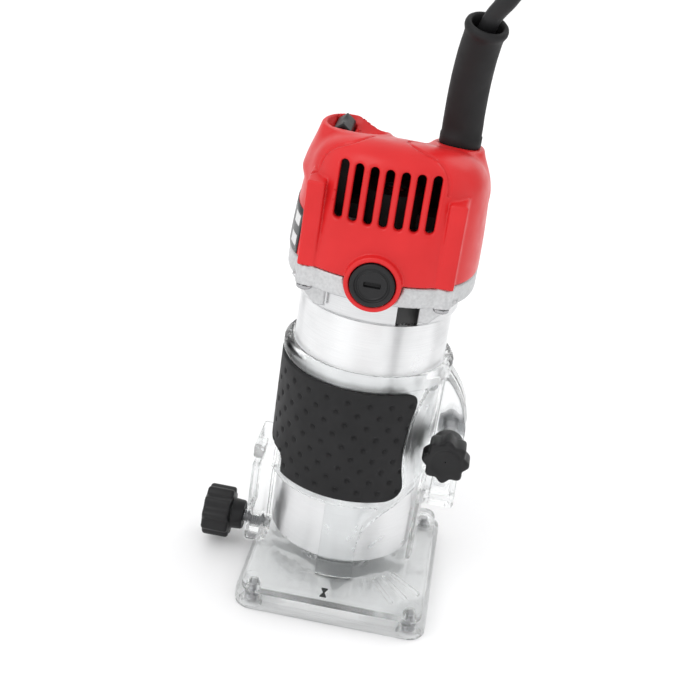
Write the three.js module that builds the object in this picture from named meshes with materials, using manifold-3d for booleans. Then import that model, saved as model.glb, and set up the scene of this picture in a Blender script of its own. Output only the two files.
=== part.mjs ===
// Trim router: clear shoe, aluminium motor barrel, moulded head, spindle and cord.
// Millimetres, +Z up. Dimensions are from the spindle axis; ORIGIN moves the finished part.
import * as THREE from "three";
import { mergeVertices } from "three/addons/utils/BufferGeometryUtils.js";
import Module from "manifold-3d";

const wasm = await Module();
wasm.setup();

// ---------- driving dimensions ----------
const ORIGIN = { x: 6.05, y: 2.72 };
const ROUND = 36;
const GAP = 0.3;

const BARREL = { r: 32.5, bore: 30, bottom: 19.7, top: 134.5, floor: 5.5 };
const FLANGE = { z0: 147.5, z1: 156, a: 38.4, b: 43, n: 2.4 };
const LUG = { x: 27.4, y: 33, r: 5.2, screwR: 2.1, headR: 3.2 };
const HEAD = { x: 0.8, wall: 2.8, n: 2.4 };
const TOWER = { x: 27.3, w: 6.8, y: 38, top: 190.5 };
const CAP = { z: 156.3, bossR: 11.6, r: 9.2, face: 46, depth: 6 };
const VENT = { count: 7, pitch: 5.9, w: 3.3, z0: 178, z1: 201 };
const COLLAR = { x: -19.6, y: -5, r: 10.2, top: 208.4 };
const ROCKER = { x: -22.6, y: -5, w: 7.2, len: 14, pivotZ: 201.5, top: 209.6, tilt: 5 };
const BOOT = { x: 22.8, y: 1, r: 8.3, seat: 203.6 };
const SLEEVE = { r0: 32.8, r1: 34.8, rim: 36.7, top: 112.3, rimZ: 106.2 };
const GRIP = { r0: 35.1, r1: 36.9, z0: 53.3, z1: 105.3 };
const PLATE = { x: 3.56, y: -6.43, a: 42.14, b: 46.02, r: 8.2, z: 6.7 };
const SHOE = { z0: 7, z1: 11.1, inset: 2.45, hole: 17 };
const GUIDE = { x: -42.2, y: -4, z: 15, halfW: 12, top: 60, r: 11.8 };
const CLAMP = { x: 41, z: 75.2, r: 9.7, y0: -27.5, y1: -17.5, ear: 8.7 };
const SPINDLE = { nutZ: 1.2, nutTop: 13, collet: 3.2, r: 6, bearingZ: 28 };
const SOLE_SCREW = { x: 34.5, y: 38, r: 1.9, head: 3.6 };

// ---------- helpers ----------
const group = new THREE.Group();
const V3 = (x, y, z) => new THREE.Vector3(x, y, z);
const V2 = (x, y) => new THREE.Vector2(x, y);

// Welds a geometry by position, so that only a closed surface is left.
function weld(geometry) {
  const bare = geometry.clone();
  bare.deleteAttribute("normal");
  bare.deleteAttribute("uv");
  return mergeVertices(bare, 1e-4);
}

// Turns a closed geometry into a solid, flipping it when its faces point inwards.
function solid(geometry) {
  const g = weld(geometry);
  const p = g.attributes.position;
  const tri = Uint32Array.from(g.index.array);
  let volume = 0;
  for (let i = 0; i < tri.length; i += 3) {
    const a = V3().fromBufferAttribute(p, tri[i]);
    const b = V3().fromBufferAttribute(p, tri[i + 1]);
    const c = V3().fromBufferAttribute(p, tri[i + 2]);
    volume += a.dot(b.cross(c));
  }
  if (volume < 0) {
    for (let i = 0; i < tri.length; i += 3) {
      [tri[i], tri[i + 1]] = [tri[i + 1], tri[i]];
    }
  }
  const mesh = new wasm.Mesh({
    numProp: 3,
    vertProperties: Float32Array.from(p.array),
    triVerts: tri,
  });
  return new wasm.Manifold(mesh);
}

function toGeometry(man) {
  const m = man.getMesh();
  const g = new THREE.BufferGeometry();
  g.setAttribute("position", new THREE.BufferAttribute(Float32Array.from(m.vertProperties), 3));
  g.setIndex(new THREE.BufferAttribute(Uint32Array.from(m.triVerts), 1));
  return g;
}

function place(name, man, material) {
  const geometry = toGeometry(man.translate([ORIGIN.x, ORIGIN.y, 0]));
  geometry.computeVertexNormals();
  const mesh = new THREE.Mesh(geometry, material);
  mesh.name = name;
  group.add(mesh);
}

function box(x0, x1, y0, y1, z0, z1) {
  const g = new THREE.BoxGeometry(x1 - x0, y1 - y0, z1 - z0);
  g.translate((x0 + x1) / 2, (y0 + y1) / 2, (z0 + z1) / 2);
  return solid(g);
}

// Revolves [radius, height] points about Z; the profile is closed by the helper.
function turned(profile, segments = 20) {
  const points = profile.map(([r, z]) => V2(r, z));
  if (profile[0][0] > 0) {
    points.push(V2(profile[0][0], profile[0][1]));
  }
  const g = new THREE.LatheGeometry(points, segments);
  g.rotateX(Math.PI / 2);
  return solid(g);
}

const rod = (r, z0, z1, n = 18) => turned([[0, z0], [r, z0], [r, z1], [0, z1]], n);
const tube = (r0, r1, z0, z1, n = 24) => turned([[r0, z0], [r1, z0], [r1, z1], [r0, z1]], n);
const alongY = (man) => man.rotate([90, 0, 0]);
const alongX = (man) => man.rotate([0, 90, 0]);

function prism(shape, z0, z1, curveSegments = 8) {
  const g = new THREE.ExtrudeGeometry(shape, { depth: z1 - z0, bevelEnabled: false, curveSegments });
  g.translate(0, 0, z0);
  return solid(g);
}

function outline(points) {
  return new THREE.Shape(points.map(([x, y]) => V2(x, y)));
}

function roundRect(x, y, a, b, r) {
  const s = new THREE.Shape();
  s.moveTo(x - a + r, y - b);
  s.absarc(x + a - r, y - b + r, r, -Math.PI / 2, 0);
  s.absarc(x + a - r, y + b - r, r, 0, Math.PI / 2);
  s.absarc(x - a + r, y + b - r, r, Math.PI / 2, Math.PI);
  s.absarc(x - a + r, y - b + r, r, Math.PI, 1.5 * Math.PI);
  return s;
}

// Joins rings of equal length into one capped solid.
function loft(rings) {
  const n = rings[0].length;
  const points = rings.flat();
  const index = [];
  for (let k = 0; k + 1 < rings.length; k += 1) {
    for (let i = 0; i < n; i += 1) {
      const j = (i + 1) % n;
      index.push(k * n + i, k * n + j, (k + 1) * n + j);
      index.push(k * n + i, (k + 1) * n + j, (k + 1) * n + i);
    }
  }
  for (const [k, flip] of [[0, true], [rings.length - 1, false]]) {
    const centre = rings[k].reduce((sum, p) => sum.add(p), V3(0, 0, 0)).divideScalar(n);
    const c = points.push(centre) - 1;
    for (let i = 0; i < n; i += 1) {
      const j = (i + 1) % n;
      index.push(c, k * n + (flip ? j : i), k * n + (flip ? i : j));
    }
  }
  const g = new THREE.BufferGeometry().setFromPoints(points);
  g.setIndex(index);
  return solid(g);
}

function superRing(x, y, a, b, n, z, count = 28) {
  const ring = [];
  for (let i = 0; i < count; i += 1) {
    const t = (2 * Math.PI * i) / count;
    const c = Math.cos(t);
    const s = Math.sin(t);
    const px = a * Math.sign(c) * Math.abs(c) ** (2 / n);
    const py = b * Math.sign(s) * Math.abs(s) ** (2 / n);
    ring.push(V3(x + px, y + py, z));
  }
  return ring;
}

// A lobed knob about Z: a round head whose edge waves in and out.
function lobedHead(r, wave, lobes, z0, z1) {
  const ring = (scale, z) => {
    const pts = [];
    const count = lobes * 4;
    for (let i = 0; i < count; i += 1) {
      const t = (2 * Math.PI * i) / count;
      const rr = (r - wave + wave * Math.cos(lobes * t)) * scale;
      pts.push(V3(rr * Math.cos(t), rr * Math.sin(t), z));
    }
    return pts;
  };
  return loft([ring(0.9, z0), ring(1, z0 + 1.2), ring(1, z1 - 1.2), ring(0.9, z1)]);
}

function union(parts) {
  return parts.reduce((sum, part) => sum.add(part));
}

const corners = (x, y) => [[-x, -y], [x, -y], [-x, y], [x, y]];

// ---------- materials ----------
const paint = (color, roughness, metalness, extra = {}) =>
  new THREE.MeshStandardMaterial({ color, roughness, metalness, ...extra });
const clear = paint(0xdfe8ea, 0.08, 0, { transparent: true, opacity: 0.35 });
const red = paint(0xd62a2c, 0.4, 0);
const black = paint(0x242527, 0.6, 0);
const rubber = paint(0x2a2b2d, 0.85, 0);
const cast = paint(0xb8bbbe, 0.45, 0.9);
const satin = paint(0xd4d6d8, 0.3, 0.95);
const steel = paint(0x8d9093, 0.3, 1);
const dark = paint(0x3b3d40, 0.4, 0.8);
const copper = paint(0xb06a3a, 0.4, 0.9);
const brass = paint(0xc7a24a, 0.35, 0.9);
const carbon = paint(0x303030, 0.8, 0.1);
const white = paint(0xe8e8e6, 0.5, 0);

// ---------- shoe ----------
function frontOpenings() {
  const left = prism(outline([[-33, 11.6], [-6, 11.6], [-6, 49], [-31, 49]]), 10, 60);
  const right = new THREE.Shape();
  right.moveTo(10, 11.6);
  right.lineTo(42, 11.6);
  right.lineTo(42, 40);
  right.lineTo(34, 40);
  right.bezierCurveTo(34, 62, 30, 56, 23, 50.5);
  right.bezierCurveTo(14, 45, 10, 42, 10, 34);
  return union([left, prism(right, 10, 60, 6)]).rotate([90, 0, 0]);
}

function guideBoss() {
  const { x, y, halfW, top } = GUIDE;
  const block = box(x, -33.2, y - halfW, y + halfW, SHOE.z1 - 1, top);
  const recess = box(x - 1, x + 4, y - halfW - 1, y + 2, 49.5, 53.5);
  const groove = box(x - 1, x + 2.5, y - 5, y + 5, 24, 46);
  return block.subtract(recess).subtract(groove);
}

function clampEars() {
  const side = outline([
    [33.4, 42], [48.6, 42], [48, 60], [47.4, 82], [45, 91.4], [42.4, 96.8], [36.8, 105.4], [33.4, 106],
  ]);
  const block = prism(side, -CLAMP.ear, CLAMP.ear).rotate([90, 0, 0]);
  const screwHole = alongY(rod(3.4, -12, 12)).translate([CLAMP.x, 0, CLAMP.z]);
  return block.subtract(screwHole);
}

function shoe() {
  const { r0, r1, rim, top, rimZ } = SLEEVE;
  const outer = turned([
    [0, SHOE.z1 - 1], [r1 + 1.4, SHOE.z1 - 1], [r1 + 0.6, 14], [r1, 20], [r1, 49.6], [rim, 50.4], [rim, 52.6],
    [r1, 53], [r1, rimZ - 0.6], [rim, rimZ], [rim, 108.8], [rim - 0.8, 109.3], [rim - 0.2, 109.8],
    [rim - 0.2, top - 0.8], [rim - 1, top], [0, top],
  ], ROUND);
  const flange = prism(
    roundRect(PLATE.x, PLATE.y, PLATE.a - SHOE.inset, PLATE.b - SHOE.inset, PLATE.r - SHOE.inset),
    SHOE.z0, SHOE.z1,
  );
  const shell = outer.subtract(frontOpenings());
  let body = union([shell, flange, guideBoss(), clampEars()]);
  body = body.subtract(rod(r0, SHOE.z1, top + 1, ROUND));
  body = body.subtract(rod(SHOE.hole, SHOE.z0 - 1, SHOE.z1 + 1, 32));
  body = body.subtract(box(30, 50, -1.3, 1.3, 38, top + 1));
  body = body.subtract(alongX(rod(3.3, -60, -20)).translate([0, GUIDE.y, GUIDE.z]));
  for (const [x, y] of corners(SOLE_SCREW.x, SOLE_SCREW.y)) {
    body = body.subtract(rod(SOLE_SCREW.r + GAP, 6, 9.6, 12).translate([PLATE.x + x, PLATE.y + y, 0]));
  }
  return body;
}

function solePlate() {
  const { x, y, a, b, r, z } = PLATE;
  let body = prism(roundRect(x, y, a, b, r), 0, z);
  body = body.subtract(rod(SHOE.hole - 1, -1, z + 1, 32));
  for (const [sx, sy] of corners(SOLE_SCREW.x, SOLE_SCREW.y)) {
    const hole = turned([
      [0, -1], [SOLE_SCREW.head + GAP, -1], [SOLE_SCREW.head + GAP, 3], [SOLE_SCREW.r + GAP, 3],
      [SOLE_SCREW.r + GAP, z + 1], [0, z + 1],
    ], 12);
    body = body.subtract(hole.translate([x + sx, y + sy, 0]));
  }
  return body;
}

function soleScrews() {
  const profile = [
    [0, 0.6], [SOLE_SCREW.head, 0.6], [SOLE_SCREW.head, 2.7], [SOLE_SCREW.r, 2.7],
    [SOLE_SCREW.r, 9.3], [0, 9.3],
  ];
  corners(SOLE_SCREW.x, SOLE_SCREW.y).forEach(([x, y], i) => {
    const cross = union([box(-2, 2, -0.4, 0.4, 0, 1.6), box(-0.4, 0.4, -2, 2, 0, 1.6)]);
    const screw = turned(profile, 12).subtract(cross);
    place(`sole_screw_${i + 1}`, screw.translate([PLATE.x + x, PLATE.y + y, 0]), steel);
  });
}

// A rubber sleeve panel; side is -1 for the front and 1 for the rear.
function grip(side) {
  let body = tube(GRIP.r0, GRIP.r1, GRIP.z0, GRIP.z1, ROUND);
  const half = side < 0 ? box(-50, 50, 12, 50, 0, 120) : box(-50, 50, -50, 15, 0, 120);
  body = body.subtract(half);
  const edge = alongY(rod(80, -60, 60, 72)).translate([104.1, 0, 79]);
  body = body.subtract(edge);
  const { y, halfW, top } = GUIDE;
  body = body.subtract(box(-50, -20, y - halfW - 0.6, y + halfW + 0.6, 40, top + 0.6));
  return body;
}

function centreMark() {
  const y = PLATE.y - PLATE.b + SHOE.inset;
  return union([box(-1, 1, y + 0.6, y + 4.4, SHOE.z1 + 0.05, SHOE.z1 + 0.55),
    box(-0.5, 0.5, y + 3.4, y + 7.5, SHOE.z1 + 0.05, SHOE.z1 + 0.55)]);
}

place("base_shoe", shoe(), clear);
place("sole_plate", solePlate(), clear);
place("front_grip", grip(-1), rubber);
place("rear_grip", grip(1), rubber);
place("centre_mark", centreMark(), black);
soleScrews();

// ---------- guide knob and clamp knob ----------
function guideKnob() {
  const head = lobedHead(GUIDE.r, 0.9, 10, -62.8, -50.5);
  const hub = turned([[0, -51], [7, -51], [6.8, -44.8], [0, -44.8]], 24);
  const bore = rod(3.3, -56, -40, 16);
  return alongX(union([head, hub]).subtract(bore)).translate([0, GUIDE.y, GUIDE.z]);
}

function clampKnob() {
  const head = lobedHead(CLAMP.r, 0.9, 8, CLAMP.y0, CLAMP.y1);
  const hub = turned([[0, CLAMP.y1 - 0.5], [7.4, CLAMP.y1 - 0.5], [5.4, -9.1], [0, -9.1]], 24);
  const dish = turned([[0, -28.5], [6, -28.5], [5.6, -26.6], [0, -26.6]], 24);
  const bore = rod(3.3, -22, 0, 16);
  const knob = union([head, hub]).subtract(dish).subtract(bore);
  return knob.rotate([-90, 0, 0]).translate([CLAMP.x, 0, CLAMP.z]);
}

place("guide_knob", guideKnob(), black);
place("guide_screw", alongX(rod(3, -55.6, -34.6, 20)).translate([0, GUIDE.y, GUIDE.z]), steel);
place("clamp_knob", clampKnob(), black);
place("clamp_screw", alongY(rod(3, -16.5, 21.6, 20)).translate([CLAMP.x, 0, CLAMP.z]), steel);
place("clamp_nut", alongY(rod(6.4, -13.6, -9, 6).subtract(rod(3.3, -20, 0, 20)))
  .translate([CLAMP.x, 0, CLAMP.z]), steel);

// ---------- motor housing ----------
function motorHousing() {
  const { r, bore, bottom, top, floor } = BARREL;
  const barrel = turned([
    [0, bottom], [r - 1.2, bottom], [r, bottom + 1.2], [r, top], [r + 1.6, top + 1.2],
    [r + 1.6, FLANGE.z0 + 1], [0, FLANGE.z0 + 1],
  ], ROUND);
  const flange = loft([
    superRing(HEAD.x, 0, FLANGE.a - 0.8, FLANGE.b - 0.8, FLANGE.n, FLANGE.z0),
    superRing(HEAD.x, 0, FLANGE.a, FLANGE.b, FLANGE.n, FLANGE.z0 + 1),
    superRing(HEAD.x, 0, FLANGE.a, FLANGE.b, FLANGE.n, FLANGE.z1),
  ]);
  let body = union([barrel, flange]);
  for (const [x, y] of corners(LUG.x, LUG.y)) {
    body = body.add(rod(LUG.r, FLANGE.z0, FLANGE.z1, 14).translate([x, y, 0]));
    const side = Math.sign(y);
    const web = outline([[18, 149], [37.4, 149], [32, 139], [18, 139]]);
    const gusset = prism(web, -1.2, 1.2).rotate([90, 0, 0]).rotate([0, 0, 90 * side]);
    body = body.add(gusset.translate([x - 4.6 * Math.sign(x), 0, 0]));
  }
  body = body.subtract(turned([
    [0, bottom + floor], [bore - 3, bottom + floor], [bore, bottom + floor + 3], [bore, FLANGE.z1 + 1],
    [0, FLANGE.z1 + 1],
  ], ROUND));
  body = body.subtract(rod(8, bottom - 1, bottom + floor + 1, 24));
  for (const [x, y] of corners(LUG.x, LUG.y)) {
    body = body.subtract(rod(LUG.screwR + GAP, 140, 160, 12).translate([x, y, 0]));
  }
  for (const side of [-1, 1]) {
    const relief = alongY(rod(CAP.bossR + GAP, 34.2, 60, 28)).translate([0, 0, CAP.z]);
    body = body.subtract(side > 0 ? relief : relief.rotate([0, 0, 180]));
  }
  body = body.subtract(alongY(rod(6.2, -60, 60, 24)).translate([0, 0, CAP.z]));
  return body;
}

// ---------- head ----------
const HEAD_LEVELS = [
  [156.3, 38.4, 43], [184, 37.3, 41.5], [197, 35.9, 39.2], [202.4, 33.2, 35.6], [205.4, 27, 28.5], [206.4, 15, 16],
];

// Leans the top of the head so that it falls gently towards the rear.
function lean(ring) {
  return ring.map((p) => V3(p.x, p.y, p.z - 0.13 * Math.max(0, p.y + 8) * Math.max(0, (p.z - 186) / 20)));
}

function headBody(inset) {
  const rings = HEAD_LEVELS.map(([z, a, b], i) => {
    const drop = i > 2 ? inset : 0;
    const start = i === 0 && inset > 0 ? -1 : 0;
    return lean(superRing(HEAD.x, 0, a - inset, b - inset, HEAD.n, z + start - drop));
  });
  return loft(rings);
}

function stadium(w, z0, z1) {
  const s = new THREE.Shape();
  s.absarc(0, z0 + w / 2, w / 2, Math.PI, 2 * Math.PI);
  s.absarc(0, z1 - w / 2, w / 2, 0, Math.PI);
  return s;
}

function vents() {
  const parts = [];
  const shape = stadium(VENT.w, VENT.z0, VENT.z1);
  for (let i = 0; i < VENT.count; i += 1) {
    const x = (i - (VENT.count - 1) / 2) * VENT.pitch;
    parts.push(prism(shape, 28, 60, 3).rotate([90, 0, 0]).translate([x, 0, 0]));
    parts.push(prism(shape, -60, -28, 3).rotate([90, 0, 0]).translate([x, 0, 0]));
  }
  return union(parts);
}

function headCover() {
  const { x, w, y, top } = TOWER;
  let outer = headBody(0);
  outer = outer.add(turned([[0, 190], [13.5, 190], [COLLAR.r, 205], [COLLAR.r, COLLAR.top - 0.8],
    [COLLAR.r - 0.8, COLLAR.top], [0, COLLAR.top]], 24).translate([COLLAR.x, COLLAR.y, 0]));
  outer = outer.add(turned([[0, 186], [12.6, 190], [10, BOOT.seat - 1], [9.2, BOOT.seat - GAP],
    [0, BOOT.seat - GAP]], 24).translate([BOOT.x, BOOT.y, 0]));
  const rib = outline([[22, FLANGE.z1 + GAP], [y, FLANGE.z1 + GAP], [y - 0.6, top], [22, top + 4]]);
  for (const sx of [-1, 1]) {
    for (const sy of [-1, 1]) {
      const tower = prism(rib, -w / 2, w / 2).rotate([90, 0, 0]).rotate([0, 0, 90 * sy]);
      outer = outer.add(tower.translate([sx * x, 0, 0]));
    }
  }
  let boss = alongY(rod(CAP.bossR, 34.6, CAP.face, 32)).translate([0, 0, CAP.z]);
  boss = union([boss, boss.rotate([0, 0, 180])]);
  let body = outer.subtract(headBody(HEAD.wall)).add(boss);
  body = body.subtract(vents());
  for (const side of [-1, 1]) {
    let bore = alongY(union([rod(CAP.r + GAP, CAP.face - CAP.depth, 60, 32), rod(6.1, 20, 60, 24)]));
    bore = bore.translate([0, 0, CAP.z]);
    body = body.subtract(side > 0 ? bore : bore.rotate([0, 0, 180]));
  }
  for (const [sx, sy] of corners(LUG.x, LUG.y)) {
    body = body.subtract(rod(LUG.screwR + GAP, 150, 178, 12).translate([sx, sy, 0]));
  }
  body = body.subtract(box(ROCKER.x - 4.2, ROCKER.x + 4.2, ROCKER.y - 7.9, ROCKER.y + 7.9, 190, 215));
  const seat = union([rod(6.3, 190, 215), rod(8.8, BOOT.seat - GAP, 215, 24)]);
  body = body.subtract(seat.translate([BOOT.x, BOOT.y, 0]));
  return body;
}

function headScrews() {
  corners(LUG.x, LUG.y).forEach(([x, y], i) => {
    const profile = [
      [0, 144.6], [LUG.headR - 0.8, 144.6], [LUG.headR, 145.6], [LUG.headR, 147.2], [LUG.screwR, 147.2],
      [LUG.screwR, 177.6], [0, 177.6],
    ];
    const cross = union([box(-2, 2, -0.4, 0.4, 144, 146), box(-0.4, 0.4, -2, 2, 144, 146)]);
    place(`head_screw_${i + 1}`, turned(profile, 12).subtract(cross).translate([x, y, 0]), steel);
  });
}

place("motor_housing", motorHousing(), satin);
place("head_cover", headCover(), red);
headScrews();

// ---------- brush gear, built facing the front and turned for the rear ----------
function brushSet(name, angle) {
  const set = (part) => part.translate([0, 0, CAP.z]).rotate([0, 0, angle]);
  const z0 = CAP.face - CAP.depth + GAP;
  let cap = turned([
    [0, z0], [CAP.r, z0], [CAP.r, CAP.face + 0.2], [CAP.r - 0.8, CAP.face + 1], [CAP.r - 2, CAP.face + 1],
    [CAP.r - 2.6, CAP.face + 0.2], [0, CAP.face + 0.2],
  ], 28);
  cap = cap.subtract(box(-4.6, 4.6, -0.8, 0.8, CAP.face - 2, CAP.face + 3));
  place(`${name}_brush_cap`, set(alongY(cap)), black);
  const holder = rod(5.8, 16, 39.2, 16).subtract(box(-3.3, 3.3, -3.3, 3.3, 10, 50));
  place(`${name}_brush_holder`, set(alongY(holder)), brass);
  place(`${name}_carbon_brush`, set(alongY(box(-3, 3, -3, 3, 11.8, 24))), carbon);
  place(`${name}_brush_spring`, set(alongY(tube(1.6, 2.6, 24.3, 38.8, 12))), steel);
}

brushSet("front", 0);
brushSet("rear", 180);

// ---------- switch ----------
function rocker() {
  const w = ROCKER.w / 2;
  const profile = outline([[-w, 199], [w, 199], [w, 206.6], [0.6, ROCKER.top], [-0.6, ROCKER.top], [-w, 206.6]]);
  const body = prism(profile, -ROCKER.len / 2, ROCKER.len / 2).rotate([90, 0, 0]);
  return body.translate([0, 0, -ROCKER.pivotZ]).rotate([ROCKER.tilt, 0, 0])
    .translate([ROCKER.x, ROCKER.y, ROCKER.pivotZ]);
}

place("rocker", rocker(), black);
place("switch_body", box(ROCKER.x - 5.2, ROCKER.x + 5.2, ROCKER.y - 10, ROCKER.y + 10, 176, 197.4), dark);

// ---------- stator and bearings ----------
place("stator_core", tube(18.4, 29.7, 64, 112), dark);
place("field_coil_lower", tube(20, 27.5, 54, 63.7), copper);
place("field_coil_upper", tube(20, 27.5, 112.3, 122), copper);
place("lower_bearing", tube(6.3, 13, 25.6, 33.6), steel);
place("bearing_retainer", tube(13.3, 26.5, 25.6, 31), dark);
place("air_baffle", tube(23, 29.6, 126, 128.5), black);
place("upper_bearing", tube(4.3, 9.5, 171, 178), steel);

function bearingBridge() {
  const arm = union([box(-32.5, 34.5, -6, 6, 168, 174), rod(12.6, 168, 182, 24)]);
  return arm.subtract(rod(9.8, 160, 179, 24)).subtract(rod(5.2, 160, 190));
}

place("bearing_bridge", bearingBridge(), black);

// ---------- spindle ----------
function shaft() {
  const { r, nutZ } = SPINDLE;
  const body = turned([
    [0, nutZ + 4], [r - 0.6, nutZ + 4], [r, nutZ + 5], [r, 46], [5, 46], [5, 170], [4, 170], [4, 181], [0, 181],
  ], 20);
  return body.subtract(rod(4.9, nutZ, 26, 20));
}

function colletNut() {
  const { nutZ, nutTop } = SPINDLE;
  const hex = rod(9.8, nutZ, nutTop, 6);
  const round = turned([[0, nutZ], [7, nutZ], [10.4, nutZ + 3.4], [10.4, nutTop], [0, nutTop]], 24);
  const bore = union([rod(4.9, nutZ - 1, nutTop, 20), rod(6.3, nutZ + 3.6, nutTop + 1, 20)]);
  return hex.intersect(round).subtract(bore);
}

function colletSleeve() {
  const { collet, nutZ } = SPINDLE;
  let body = tube(collet, 4.6, nutZ + 0.4, 25.6, 20);
  for (const angle of [0, 90]) {
    body = body.subtract(box(-6, 6, -0.3, 0.3, nutZ - 1, 16).rotate([0, 0, angle]));
  }
  return body;
}

function fan() {
  let body = turned([[5.3, 36], [8, 36], [8, 38], [25.5, 38], [25.5, 39.6], [8, 39.6], [8, 47], [5.3, 47]], 24);
  body = body.subtract(rod(6.3, 30, 46.3, 20));
  for (let i = 0; i < 8; i += 1) {
    const blade = box(9, 25.2, -0.7, 0.7, 39, 47).rotate([0, 0, 45 * i]);
    body = body.add(blade);
  }
  return body;
}

function commutator() {
  let body = tube(5.3, 11.4, 148, 164);
  for (let i = 0; i < 8; i += 1) {
    body = body.subtract(box(10.6, 13, -0.3, 0.3, 149, 165).rotate([0, 0, 45 * i]));
  }
  return body;
}

place("spindle_shaft", shaft(), steel);
place("collet_nut", colletNut(), dark);
place("collet", colletSleeve(), steel);
place("cooling_fan", fan(), black);
place("armature_core", tube(5.3, 17.4, 66, 110), dark);
place("winding_lower", tube(5.3, 15.5, 57, 65.7), copper);
place("winding_upper", tube(5.3, 15.5, 110.3, 119), copper);
place("commutator", commutator(), copper);

// ---------- label ----------
function ratingLabel() {
  const skin = loft([
    superRing(HEAD.x, 0, 38.4 + 0.75, 43.75, HEAD.n, 158),
    superRing(HEAD.x, 0, 37.9 + 0.72, 43, HEAD.n, 175),
  ]);
  const inner = loft([
    superRing(HEAD.x, 0, 38.4 + 0.35, 43.35, HEAD.n, 157.9),
    superRing(HEAD.x, 0, 37.9 + 0.32, 42.62, HEAD.n, 175.1),
  ]);
  return skin.subtract(inner).intersect(box(-50, -20, -25, 8, 158.4, 174.6));
}

place("rating_label", ratingLabel(), black);

// ---------- cord ----------
// Centre line of the strain relief, which leans forwards at its mouth: x, y, z and radius.
const BOOT_PATH = [
  [22.8, 1, 204, 8.4], [22.7, 1, 210, 8.1], [22.6, 0.7, 220, 8], [22.8, -0.6, 230, 7.9], [23.5, -3.2, 240, 7.8],
  [24.4, -5.8, 246.8, 7.7], [25.1, -7.4, 250.8, 8.1], [25.4, -8.1, 252.4, 8.1],
];
const CORD_R = 3.5;
const CORD_POINTS = [
  [24.4, -5.9, 246.4], [25.7, -8.4, 252.6], [27, -10.3, 256.3], [29, -12, 259.8], [31.3, -13.2, 263.2],
  [37.7, -12.3, 275.3], [43.6, -5.1, 286.9], [47.4, 7.1, 294.5], [48.2, 21.7, 296.7], [46, 35.9, 293],
  [41.6, 46.1, 285], [37.2, 50.6, 272.6], [30.8, 53.8, 255.1], [28, 57.5, 247], [26.1, 61, 239.4],
  [24.8, 63.5, 231.9], [23.4, 65.5, 223.8], [22.3, 66.8, 210], [21.8, 67.5, 192.4], [21.8, 68, 168.6],
  [20.3, 68, 138.7], [16.9, 68, 107], [12.9, 68, 79.2], [14.4, 68, 54], [15.6, 68.1, 38],
  [16, 69.6, 26.4], [16.1, 76.4, 14.2], [16.2, 88.8, 6.6], [16.2, 103, 5.1], [16.2, 117, 5.2],
  [16.2, 131, 5.2],
];
const HANK = { x: -12, near: 131, far: 223, z0: 1.7, z1: 15.8, inner: 17.5, outer: 31.7 };
const TAIL = [
  [-33, 222.3, 5.2], [-32.8, 218, 5.2], [-31.6, 213, 5.3], [-27.1, 205, 5.9], [-19.1, 195, 7.2], [-14.6, 187.5, 7.9],
  [-12.1, 181, 8.2], [-12, 175.7, 8.2],
];
const PLUG = { x: -12, y: 175.3, z: 8.2 };

function discRing(centre, normal, r, count = 18) {
  const across = V3(0, 1, 0).cross(normal).normalize();
  const along = normal.clone().cross(across);
  const ring = [];
  for (let i = 0; i < count; i += 1) {
    const t = (2 * Math.PI * i) / count;
    const arm = across.clone().multiplyScalar(r * Math.cos(t));
    ring.push(arm.addScaledVector(along, r * Math.sin(t)).add(centre));
  }
  return ring;
}

function cordBoot() {
  const centres = BOOT_PATH.map(([x, y, z]) => V3(x, y, z));
  const rings = centres.map((centre, i) => {
    const next = centres[Math.min(i + 1, centres.length - 1)];
    const last = centres[Math.max(i - 1, 0)];
    return discRing(centre, next.clone().sub(last).normalize(), BOOT_PATH[i][3]);
  });
  const stem = turned([[0, 189], [7.6, 189], [7.6, 192.5], [6, 192.5], [6, 204.6], [0, 204.6]], 20);
  const body = loft(rings).add(stem.translate([BOOT.x, BOOT.y, 0]));
  const bore = rod(4.6, 0, 14).add(rod(6, 5, 14));
  return body.subtract(bore.rotate([20.9, 9.9, 0]).translate([23.9, -4.9, 244]));
}

function tubeAlong(points, r, sides, step) {
  const curve = new THREE.CatmullRomCurve3(points.map(([x, y, z]) => V3(x, y, z)), false, "centripetal");
  const ring = new THREE.Shape();
  ring.absarc(0, 0, r, 0, 2 * Math.PI);
  const g = new THREE.ExtrudeGeometry(ring, {
    steps: Math.round(curve.getLength() / step),
    curveSegments: sides / 2,
    bevelEnabled: false,
    extrudePath: curve,
  });
  return solid(g);
}

function racetrack(r, Type = THREE.Shape) {
  const s = new Type();
  s.absarc(HANK.x, HANK.far, r, 0, Math.PI);
  s.absarc(HANK.x, HANK.near, r, Math.PI, 2 * Math.PI);
  s.closePath();
  return s;
}

// The folded cord as one flat ring with round ends, notched where the lead comes in and the tail goes out.
// The lead's notch is open above, because the lead rises with the motor.
function hankSolid() {
  const ring = racetrack(HANK.outer);
  ring.holes.push(racetrack(HANK.inner, THREE.Path));
  const lead = box(12.4, 24, 95, HANK.near + GAP, 0, HANK.z1 + 1);
  const tail = box(-37, -25, 165, HANK.far - GAP, 0, 9.6);
  return prism(ring, HANK.z0, HANK.z1, 12).subtract(lead).subtract(tail);
}

function cordTie() {
  const shell = prism(roundRect(HANK.x, 8.1, 33.6, 8.1, 1.5), 0, 7);
  const hollow = prism(roundRect(HANK.x, 8.75, HANK.outer + GAP, 7.35, 0.5), -1, 8);
  return shell.subtract(hollow).rotate([90, 0, 0]).translate([0, 196, 0]);
}

function plugBody() {
  return loft([
    superRing(0, 0, 4.4, 4.4, 2, 0, 20), superRing(0, 0, 5, 5, 2, 12, 20), superRing(0, 0, 12.4, 7, 3, 19, 20),
    superRing(0, 0, 13, 7.3, 3, 33, 20), superRing(0, 0, 12, 6.8, 3, 36, 20),
  ]);
}

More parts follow.
